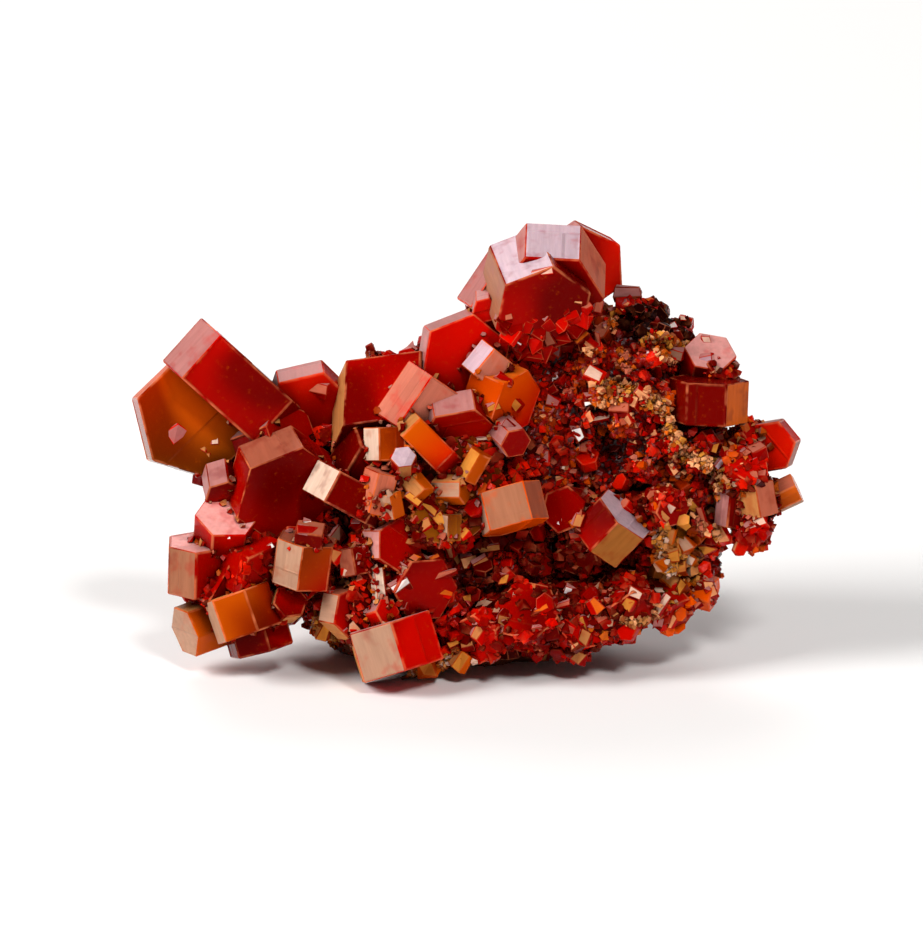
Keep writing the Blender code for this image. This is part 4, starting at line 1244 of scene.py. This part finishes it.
def chip_near(trees, chip):
    """How near to the viewer a chip's face lies, where it rests on the surface, and None beside it."""
    along = direction(chip.turn, 0) * chip.long * CHIP_FELT
    aside = direction(chip.turn + 90, 0) * chip.wide * CHIP_FELT
    middle = Vector((chip.across, chip.up, 0))
    found = [surface_near(trees, *(middle + step).xy) for step in (Vector(), along, -along, aside, -aside)]
    if found[0] is None:
        return None
    return min(max(part for part in found if part is not None), found[0] + CHIP_RISE) - CHIP_SUNK


def chip_crystals(trees, seed):
    """Small crystals that lie on the surface with a side face turned to the viewer."""
    pick = random.Random(seed)
    made = []
    for chip in CHIPS:
        near = chip_near(trees, chip)
        if near is None:
            continue
        body = pick.choice(("red", "deep"))
        flats = max(chip.wide, LEAST_CHIP) * CHIP_THICKNESS
        place = Vector((chip.across, chip.up, near - flats / 2))
        if is_below_base(place, chip.long / 2 + CHIP_OFF_FLOOR):
            continue
        if "olive" in zone_at(place).bodies:
            body = "amber"
        turn = chip.turn + pick.uniform(-CHIP_TURN, CHIP_TURN)
        lean = pick.uniform(-CHIP_LEAN, CHIP_LEAN)
        spin = pick.uniform(-CHIP_LEAN, CHIP_LEAN)
        films = (("near", chip.film),)
        made.append((Crystal(*place, turn, lean, spin, flats, chip.long, body, chip.wide, films), None))
    return made


# The share of the places tried in a group's seams that get a small crystal, and that in other groups.
SEAMS = {"upper_left_crystals": 0.06, "top_crystals": 0.0, "upper_middle_crystals": 0.1,
         "centre_crystals": 0.35, "right_crystals": 0.06, "lower_left_crystals": 0.15}
OTHER_SEAMS = 0.5

# Places tried on a large crystal, how far a seam reaches into and out of the next one, the widths of the
# small crystals in it and the cells of their grid, all in millimetres, and the room that they keep as a
# part of their width.
SEAM_PLACES = 900
SEAM_FROM = -0.1
SEAM_TO = 0.35
SEAM_SIZES = (0.2, 0.6)
SEAM_CELL = 1.5
SEAM_ROOM = 1.3


def seam_crystals(crystals, others, share, seed):
    """Small crystals in the seams where two large crystals of a group meet."""
    rng = np.random.default_rng(seed)
    pick = random.Random(seed)
    made = []
    for crystal in crystals:
        mesh = crystal_mesh(crystal)
        points, normals = surface_points(mesh, SEAM_PLACES, rng)
        bpy.data.meshes.remove(mesh)
        nearest = nearest_crystal(points, [other for other in others if other != crystal])
        seam = (nearest > SEAM_FROM) & (nearest < SEAM_TO)
        ways = normals + random_ways(len(points), rng)
        spacing = Spacing(SEAM_CELL)
        for point, way in zip(points[seam], ways[seam]):
            if pick.random() > share:
                continue
            place = world_to_view(Vector(point))
            flats = pick.uniform(*SEAM_SIZES)
            if not spacing.is_free(place, flats * SEAM_ROOM):
                continue
            spacing.take(place, flats * SEAM_ROOM)
            turn, lean = turn_and_lean(seen_way(way).normalized())
            small = Crystal(*place, turn, lean, pick.uniform(0, 60), flats, flats * pick.uniform(0.6, 1.2),
                            pick.choice(("red", "deep", "deep", "dark", "rust")))
            made.append((small, pick.choice((None, None, "salmon", "tan", "beige", "rose"))))
    return made


# The widths of the rock's patches of ochre, of its knobs and of the druse's grains, and the height above
# the base up to which the rock is bare and that at which it has its full relief, in millimetres.
OCHRE_SIZE = 4
KNOB_SIZE = 1.6
DRUSE_SIZE = 0.75
BARE_BELOW = 2
FULL_RELIEF_FROM = 1.5

# How sharp the patches of ochre are, and how much of the noise stays under the druse. The exponent,
# lacunarity and octaves of the knobs, and their middle height.
OCHRE_CONTRAST = 2.5
OCHRE_FROM = 0.6
KNOB_DETAIL = (0.8, 2.2, 4)
KNOB_MIDDLE = 0.3

# How high a place counts as for the druse's painted shade and highlights: usually, and what a grain, a
# knob and a recess change.
RISE_USUAL = 0.6
RISE_OF_GRAIN = 0.35
RISE_OF_KNOB = 0.3
RISE_OF_RECESS = -0.4


def ochre_share(place, height):
    """How much bare ochre rock shows at a place in the view: in the ochre zones, low down and in patches."""
    if "olive" in zone_at(place).bodies:
        return 1
    patch = noise.noise(place / OCHRE_SIZE) * OCHRE_CONTRAST - OCHRE_FROM if place.z < FRONT_FROM else 0
    return max(smooth(BARE_BELOW - height / MM), smooth(patch))


def even_rock(grain):
    """The CAD rock as a mesh of small faces of an even size."""
    mesh = frame["nodes"]["matrix"].data.copy()
    bm = bmesh.new()
    bm.from_mesh(mesh)
    bmesh.ops.remove_doubles(bm, verts=bm.verts, dist=0.00001)
    bm.to_mesh(mesh)
    bm.free()
    rough = bpy.data.objects.new("rough_rock", mesh)
    bpy.context.collection.objects.link(rough)
    remesh = rough.modifiers.new("Grain", "REMESH")
    remesh.mode = "VOXEL"
    remesh.voxel_size = grain
    shaped = bpy.data.meshes.new_from_object(rough.evaluated_get(bpy.context.evaluated_depsgraph_get()))
    bpy.data.objects.remove(rough, do_unlink=True)
    return shaped


def rock_mesh(sizes):
    """The rock, knobbly and rough with a druse of fine crystals, with recesses between the knobs."""
    shaped = even_rock(sizes.rock_grain)
    rises = shaped.attributes.new("rise", "FLOAT", "POINT")
    ochres = shaped.attributes.new("ochre", "FLOAT", "POINT")
    normals = [vert.normal.copy() for vert in shaped.vertices]
    for vert, normal in zip(shaped.vertices, normals):
        knobs = noise.fractal(vert.co / (KNOB_SIZE * MM), *KNOB_DETAIL) - KNOB_MIDDLE
        grains = 1 - 2 * noise.voronoi(vert.co / (DRUSE_SIZE * MM))[0][0]
        place = world_to_view(vert.co)
        sunk = recess(place)
        # The rise sets the druse's painted shade low down and in recesses, and its painted highlights on high
        # tips.
        rises.data[vert.index].value = (RISE_USUAL + RISE_OF_GRAIN * grains + RISE_OF_KNOB * knobs
                                        + RISE_OF_RECESS * sunk)
        ochres.data[vert.index].value = ochre_share(place, vert.co.z)
        share = min(max(vert.co.z / (FULL_RELIEF_FROM * MM), 0), 1)
        rise = knobs * sizes.rock_relief + grains * sizes.druse_relief - sunk * sizes.recess
        vert.co += normal * rise * share
    return shaped


# Inputs of the Mix node for colours.
FACTOR = 0
FIRST = 6
SECOND = 7
MIXED = 2


def add_node(tree, kind, inputs=None, **settings):
    """Adds a node with its settings. An input is given a value, or the socket that it is linked from."""
    node = tree.nodes.new(kind)
    for name, value in settings.items():
        setattr(node, name, value)
    for name, value in (inputs or {}).items():
        if isinstance(value, bpy.types.NodeSocket):
            tree.links.new(value, node.inputs[name])
        else:
            node.inputs[name].default_value = value
    return node


def new_material(name):
    material = bpy.data.materials.new(name)
    material.use_nodes = True
    return material, material.node_tree, material.node_tree.nodes["Principled BSDF"]


def painted_crowding_shade(tree, colour):
    """Painted shade: darkens a colour where crystals or knobs stand close together and take each other's
    light.
    """
    room = add_node(tree, "ShaderNodeAmbientOcclusion", {"Distance": 4 * MM}, samples=4,
                    only_local=True).outputs["AO"]
    room = add_node(tree, "ShaderNodeMapRange", {"Value": room, "From Min": 0.2, "From Max": 0.8,
                                                 "To Min": 0.18}, interpolation_type="SMOOTHSTEP").outputs[0]
    return add_node(tree, "ShaderNodeVectorMath", {0: colour, "Scale": room}, operation="SCALE").outputs[0]


def crystal_inside(tree, colours, own, patches, flecks):
    """The colour inside a crystal, with growth zones of about 6 mm, ochre flecks and painted glow at its
    edges.
    """
    body = add_node(tree, "ShaderNodeAttribute", attribute_name="body").outputs["Color"]
    rim = add_node(tree, "ShaderNodeAttribute", attribute_name="rim").outputs["Fac"]
    # Thick and thin places.
    clouds = add_node(tree, "ShaderNodeTexNoise", {"Vector": own, "Scale": 0.16, "Detail": 0}).outputs["Fac"]
    shaded = add_node(tree, "ShaderNodeMix", {FACTOR: 1.0, FIRST: body, SECOND: (0.38, 0.2, 0.18, 1)},
                      data_type="RGBA", blend_type="MULTIPLY").outputs[MIXED]
    depth = add_node(tree, "ShaderNodeMapRange", {"Value": clouds, "From Min": 0.32, "From Max": 0.62},
                     interpolation_type="SMOOTHSTEP").outputs[0]
    inside = add_node(tree, "ShaderNodeMix", {FACTOR: depth, FIRST: shaded, SECOND: body},
                      data_type="RGBA").outputs[MIXED]
    zone = add_node(tree, "ShaderNodeMapRange", {"Value": flecks, "From Min": 0.56, "From Max": 0.8,
                                                 "To Max": 0.4}, interpolation_type="SMOOTHSTEP").outputs[0]
    inside = add_node(tree, "ShaderNodeMix", {FACTOR: zone, FIRST: inside, SECOND: (*colours.amber, 1)},
                      data_type="RGBA").outputs[MIXED]
    # Painted glow: here and there the rim round each face takes the colour of light through thin edges.
    thin = add_node(tree, "ShaderNodeMapRange", {"Value": patches, "From Min": 0.4, "From Max": 0.62,
                                                 "To Max": 0.6}).outputs[0]
    rim_share = add_node(tree, "ShaderNodeMath", {0: rim, 1: thin}, operation="MULTIPLY").outputs[0]
    return add_node(tree, "ShaderNodeMix", {FACTOR: rim_share, FIRST: inside, SECOND: (*colours.edge, 1)},
                    data_type="RGBA").outputs[MIXED]


def crystal_film_and_sheen(tree, patches, lines):
    """How thick the film and painted sheen lie on a face, thinner in soft patches, and their finely lined
    colour.
    """
    film_colour = add_node(tree, "ShaderNodeAttribute", attribute_name="film_colour").outputs["Color"]
    film = add_node(tree, "ShaderNodeAttribute", attribute_name="film").outputs["Fac"]
    wear = add_node(tree, "ShaderNodeMapRange", {"Value": patches, "From Min": 0.28, "From Max": 0.5,
                                                 "To Min": 0.6, "To Max": 0.97},
                    interpolation_type="SMOOTHSTEP").outputs[0]
    worn = add_node(tree, "ShaderNodeMath", {0: film, 1: wear}, operation="MULTIPLY").outputs[0]
    line_shade = add_node(tree, "ShaderNodeMapRange", {"Value": lines, "From Min": 0.3, "From Max": 0.7,
                                                       "To Min": 0.86, "To Max": 1.08}).outputs[0]
    lined = add_node(tree, "ShaderNodeVectorMath", {0: film_colour, "Scale": line_shade},
                     operation="SCALE").outputs[0]
    return worn, lined


def vanadinite_material(colours):
    """Vanadinite, a lead vanadate: clear red crystals with a resinous shine, brown growth zones inside,
    fine lines along their length and a silky film on some faces, with a painted sheen on the faces that
    look up and to the left, towards the light."""
    material, tree, shader = new_material("vanadinite")
    # Places in a crystal are in millimetres: lines and flecks are about 0.4 mm wide, patches 1.4 mm.
    own = add_node(tree, "ShaderNodeAttribute", attribute_name="own").outputs["Vector"]
    stretched = add_node(tree, "ShaderNodeMapping", {"Vector": own, "Scale": (1, 1, 0.12)}).outputs[0]
    lines = add_node(tree, "ShaderNodeTexNoise", {"Vector": stretched, "Scale": 2.6, "Detail": 4,
                                                  "Roughness": 0.6}).outputs["Fac"]
    patches = add_node(tree, "ShaderNodeTexNoise", {"Vector": own, "Scale": 0.7, "Detail": 2,
                                                    "Roughness": 0.6}).outputs["Fac"]
    flecks = add_node(tree, "ShaderNodeTexNoise", {"Vector": own, "Scale": 2.4, "Detail": 5,
                                                   "Roughness": 0.7}).outputs["Fac"]
    inside = crystal_inside(tree, colours, own, patches, flecks)
    worn, lined = crystal_film_and_sheen(tree, patches, lines)
    colour = add_node(tree, "ShaderNodeMix", {FACTOR: worn, FIRST: inside, SECOND: lined},
                      data_type="RGBA").outputs[MIXED]
    # Painted shade darkens the colour where crystals crowd together.
    tree.links.new(painted_crowding_shade(tree, colour), shader.inputs["Base Color"])
    # Bare faces are glassy, and those with film and painted sheen are duller.
    polish = add_node(tree, "ShaderNodeMapRange", {"Value": worn, "To Min": 0.13, "To Max": 0.42}).outputs[0]
    tree.links.new(polish, shader.inputs["Roughness"])
    relief = add_node(tree, "ShaderNodeBump", {"Height": lines, "Strength": 0.25,
                                               "Distance": 0.06 * MM}).outputs[0]
    relief = add_node(tree, "ShaderNodeBump", {"Height": flecks, "Strength": 0.2, "Distance": 0.05 * MM,
                                               "Normal": relief}).outputs[0]
    tree.links.new(relief, shader.inputs["Normal"])
    shader.inputs["IOR"].default_value = 1.6
    shader.inputs["Specular IOR Level"].default_value = 0.07
    shader.inputs["Specular Tint"].default_value = (1.0, 0.22, 0.18, 1)
    shader.inputs["Subsurface Weight"].default_value = 0.1
    shader.inputs["Subsurface Radius"].default_value = (1.0, 0.22, 0.08)
    shader.inputs["Subsurface Scale"].default_value = 0.8 * MM
    return material


def bare_rock(tree, colours, lumps, grains):
    """Ochre rock with dark stains, and pale barite in grains."""
    stain = add_node(tree, "ShaderNodeMapRange", {"Value": lumps, "From Min": 0.4,
                                                  "From Max": 0.6}).outputs[0]
    rock = add_node(tree, "ShaderNodeMix", {FACTOR: stain, FIRST: (*colours.rock_dark, 1),
                                            SECOND: (*colours.rock, 1)}, data_type="RGBA").outputs[MIXED]
    pale = add_node(tree, "ShaderNodeMapRange", {"Value": grains, "From Min": 0.58, "From Max": 0.72,
                                                 "To Max": 0.7}).outputs[0]
    return add_node(tree, "ShaderNodeMix", {FACTOR: pale, FIRST: rock, SECOND: (*colours.rock_pale, 1)},
                    data_type="RGBA").outputs[MIXED]


def red_druse(tree, colours, grains):
    """The druse, with painted shade in its hollows and a painted highlight on some of its tips."""
    rise = add_node(tree, "ShaderNodeAttribute", attribute_name="rise").outputs["Fac"]
    depth = add_node(tree, "ShaderNodeMapRange", {"Value": rise, "From Min": 0.2, "From Max": 0.6}).outputs[0]
    druse = add_node(tree, "ShaderNodeMix", {FACTOR: depth, FIRST: (*colours.druse_dark, 1),
                                             SECOND: (*colours.druse, 1)}, data_type="RGBA").outputs[MIXED]
    tips = add_node(tree, "ShaderNodeMapRange", {"Value": rise, "From Min": 0.68, "From Max": 0.8,
                                                 "To Max": 0.8}).outputs[0]
    some = add_node(tree, "ShaderNodeMapRange", {"Value": grains, "From Min": 0.52,
                                                 "From Max": 0.6}).outputs[0]
    tips = add_node(tree, "ShaderNodeMath", {0: tips, 1: some}, operation="MULTIPLY").outputs[0]
    return add_node(tree, "ShaderNodeMix", {FACTOR: tips, FIRST: druse, SECOND: (*colours.salmon, 1)},
                    data_type="RGBA").outputs[MIXED]


def rock_material(colours):
    """Iron-stained barite, rough and ochre, under a druse of red crystals too fine to tell apart."""
    material, tree, shader = new_material("iron-stained barite")
    # The lumps are about 3.6 mm wide, and the grains 0.45 mm.
    place = add_node(tree, "ShaderNodeTexCoord").outputs["Object"]
    ochre = add_node(tree, "ShaderNodeAttribute", attribute_name="ochre").outputs["Fac"]
    lumps = add_node(tree, "ShaderNodeTexNoise", {"Vector": place, "Scale": 0.28 / MM, "Detail": 5,
                                                  "Roughness": 0.65}).outputs["Fac"]
    grains = add_node(tree, "ShaderNodeTexNoise", {"Vector": place, "Scale": 2.2 / MM, "Detail": 4,
                                                   "Roughness": 0.7}).outputs["Fac"]
    colour = add_node(tree, "ShaderNodeMix", {FACTOR: ochre, FIRST: red_druse(tree, colours, grains),
                                              SECOND: bare_rock(tree, colours, lumps, grains)},
                      data_type="RGBA").outputs[MIXED]
    # Painted shade darkens the colour where knobs and crystals crowd together.
    tree.links.new(painted_crowding_shade(tree, colour), shader.inputs["Base Color"])
    shine = add_node(tree, "ShaderNodeMapRange", {"Value": ochre, "To Min": 0.3, "To Max": 0.8}).outputs[0]
    tree.links.new(shine, shader.inputs["Roughness"])
    relief = add_node(tree, "ShaderNodeBump", {"Height": grains, "Strength": 0.8,
                                               "Distance": 0.1 * MM}).outputs[0]
    tree.links.new(relief, shader.inputs["Normal"])
    shader.inputs["IOR"].default_value = 1.64
    shader.inputs["Specular IOR Level"].default_value = 0.22
    return material


def floor_material(colours):
    """Matt painted board, with a faint mottle."""
    material, tree, shader = new_material("painted board")
    place = add_node(tree, "ShaderNodeTexCoord").outputs["Object"]
    # The mottle's patches are about 125 mm wide.
    mottle = add_node(tree, "ShaderNodeTexNoise", {"Vector": place, "Scale": 8.0}).outputs["Fac"]
    pale = tuple(part * 0.97 for part in colours.floor)
    colour = add_node(tree, "ShaderNodeMix", {FACTOR: mottle, FIRST: (*colours.floor, 1), SECOND: (*pale, 1)},
                      data_type="RGBA").outputs[MIXED]
    tree.links.new(colour, shader.inputs["Base Color"])
    shader.inputs["Roughness"].default_value = 0.9
    return material


def shared_material(name, make, colours):
    """The material of that name, made at its first use."""
    return bpy.data.materials.get(name) or make(colours)


# The lights: the place and the width of each in metres, and its power in watts. All aim at one place.
LIGHTS = {
    "key": ((-0.6, -0.23, 0.48), 0.45, 6.6),
    "back": ((-0.1, 0.6, 0.5), 0.5, 2.5),
    "fill": ((0.2, -0.6, 0.65), 0.2, 4.2),
}
LIGHTS_AIM = (0, 0, 0.015)
SURROUNDINGS = (0.13, 0.13, 0.13, 1)
FLOOR_RADIUS = 2.0

# The camera shows a millimetre as 13.34 pixels of a picture 931 pixels high, with the middle of the base
# 8 pixels right of the picture's. It stands 0.7 m away, and its sensor is 36 mm wide.
PIXELS_PER_MM = 13.34
PICTURE_HEIGHT = 931
PIXELS_ASIDE = 8
CAMERA_DISTANCE = 0.7
SENSOR = 36


def add_light(name, place, size, power):
    """Adds a round soft light that aims at the specimen."""
    lamp = bpy.data.lights.new(name, "AREA")
    lamp.shape = "DISK"
    lamp.size = size
    lamp.energy = power
    made = bpy.data.objects.new(name, lamp)
    made.location = place
    made.rotation_euler = (Vector(LIGHTS_AIM) - Vector(place)).to_track_quat("-Z", "Y").to_euler()
    bpy.context.collection.objects.link(made)


def add_camera():
    """Adds the camera, looking along the view at the middle of the specimen."""
    lens = bpy.data.cameras.new("camera")
    lens.lens = SENSOR * PIXELS_PER_MM * CAMERA_DISTANCE * 1000 / PICTURE_HEIGHT
    lens.clip_start = 0.05
    lens.clip_end = 10
    made = bpy.data.objects.new("camera", lens)
    target = Vector((-PIXELS_ASIDE / PIXELS_PER_MM * MM, 0, VIEW_CENTRE_HEIGHT * MM))
    made.location = target + view_axes() @ Vector((0, 0, CAMERA_DISTANCE))
    made.rotation_euler = view_axes().to_euler()
    bpy.context.collection.objects.link(made)
    return made


# Starts of the random draws, and the place across that parts the two pieces of the crust's front.
CRUST_SEED = 11
CREST_SEED = 12
CHIP_SEED = 14
CRUST_MIDDLE = 3


class SPECIMEN_OT_rock(bpy.types.Operator):
    """Adds the knobbly iron-stained rock that carries the crystals"""

    bl_idname = "specimen.rock"
    bl_label = "Rock"

    def execute(self, context):
        settings = context.scene
        mesh = rock_mesh(settings.specimen_sizes)
        material = shared_material("iron-stained barite", rock_material, settings.specimen_colours)
        rock = new_object("rock", mesh, material)
        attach(rock, "root")
        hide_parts("matrix")
        return {"FINISHED"}


class SPECIMEN_OT_crystals(bpy.types.Operator):
    """Adds the large crystals, one piece for each group that grew together"""

    bl_idname = "specimen.crystals"
    bl_label = "Large crystals"

    def execute(self, context):
        colours = context.scene.specimen_colours
        material = shared_material("vanadinite", vanadinite_material, colours)
        everyone = all_crystals()
        for number, (name, crystals) in enumerate(crystal_groups().items()):
            rng = random.Random(number)
            parts = [large_crystal(crystal, context.scene.specimen_sizes, colours, rng)
                     for crystal in crystals]
            seams = seam_crystals(crystals, everyone, SEAMS.get(name, OTHER_SEAMS), number)
            parts += small_crystals(seams, colours, rng)
            piece = gather(name.replace("crystals", "prisms"), parts, material)
            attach(piece, "root")
            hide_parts(name)
        return {"FINISHED"}


class SPECIMEN_OT_crust(bpy.types.Operator):
    """Adds the crust of small crystals on the rock and on the crystals that it grew over"""

    bl_idname = "specimen.crust"
    bl_label = "Crust"

    def execute(self, context):
        colours = context.scene.specimen_colours
        material = shared_material("vanadinite", vanadinite_material, colours)
        rock = bpy.data.objects["rock"].data
        grown = crust_crystals(rock, context.scene.specimen_sizes.crust_count, all_crystals(), CRUST_SEED)
        front = [item for item in grown if item[0].near > FRONT_FROM]
        sides = {
            "crust_right": [item for item in front if item[0].across > CRUST_MIDDLE],
            "crust_left": [item for item in front if item[0].across <= CRUST_MIDDLE],
            "crust_back": [item for item in grown if item[0].near <= FRONT_FROM],
        }
        for name, crystals in sides.items():
            rng = random.Random(name)
            piece = gather(name, small_crystals(crystals, colours, rng), material)
            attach(piece, "root")
        return {"FINISHED"}


class SPECIMEN_OT_details(bpy.types.Operator):
    """Adds the pale crumbs of the crest and the pale faces in the crust, on what is already there.

    Some of the pale faces are painted glints and painted sheen.
    """

    bl_idname = "specimen.details"
    bl_label = "Crest and pale faces"

    def execute(self, context):
        colours = context.scene.specimen_colours
        material = shared_material("vanadinite", vanadinite_material, colours)
        pieces = [item for item in bpy.data.objects if item.name.startswith("crust") or item.name == "rock"]
        crumbs = crest_crystals(surface_trees(pieces), CREST_SEED)
        crest = gather("crest", small_crystals(crumbs, colours, random.Random(CREST_SEED)), material)
        pieces += [item for item in bpy.data.objects if item.name.endswith("prisms")] + [crest]
        single = chip_crystals(surface_trees(pieces), CHIP_SEED)
        chips = gather("chips", small_crystals(single, colours, random.Random(CHIP_SEED)), material)
        for piece in (crest, chips):
            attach(piece, "root")
        return {"FINISHED"}


class SPECIMEN_OT_stage(bpy.types.Operator):
    """Adds the pale floor, the soft lights and the camera"""

    bl_idname = "specimen.stage"
    bl_label = "Stage"

    def execute(self, context):
        colours = context.scene.specimen_colours
        bm = bmesh.new()
        bmesh.ops.create_circle(bm, cap_ends=True, segments=96, radius=FLOOR_RADIUS)
        mesh = bpy.data.meshes.new("floor")
        bm.to_mesh(mesh)
        bm.free()
        floor = new_object("floor", mesh, floor_material(colours))
        world = bpy.data.worlds.new("studio")
        world.use_nodes = True
        world.node_tree.nodes["Background"].inputs["Color"].default_value = SURROUNDINGS
        context.scene.world = world
        for name, light in LIGHTS.items():
            add_light(name, *light)
        context.scene.view_settings.view_transform = "Standard"
        context.scene.camera = add_camera()
        return {"FINISHED"}


class SPECIMEN_PT_panel(bpy.types.Panel):
    """Lists the pieces of the specimen"""

    bl_label = "Specimen"
    bl_space_type = "VIEW_3D"
    bl_region_type = "UI"
    bl_category = "Specimen"

    def draw(self, context):
        for operator in OPERATORS:
            self.layout.operator(operator.bl_idname)


OPERATORS = (SPECIMEN_OT_rock, SPECIMEN_OT_crystals, SPECIMEN_OT_crust, SPECIMEN_OT_details,
             SPECIMEN_OT_stage)
CLASSES = (SpecimenColours, SpecimenSizes, *OPERATORS, SPECIMEN_PT_panel)


def register():
    for item in CLASSES:
        bpy.utils.register_class(item)
    bpy.types.Scene.specimen_colours = PointerProperty(type=SpecimenColours)
    bpy.types.Scene.specimen_sizes = PointerProperty(type=SpecimenSizes)


def unregister():
    del bpy.types.Scene.specimen_sizes
    del bpy.types.Scene.specimen_colours
    for item in reversed(CLASSES):
        bpy.utils.unregister_class(item)


def main():
    register()
    bpy.ops.specimen.rock()
    bpy.ops.specimen.crystals()
    bpy.ops.specimen.crust()
    bpy.ops.specimen.details()
    bpy.ops.specimen.stage()


if __name__ == "__main__":
    main()
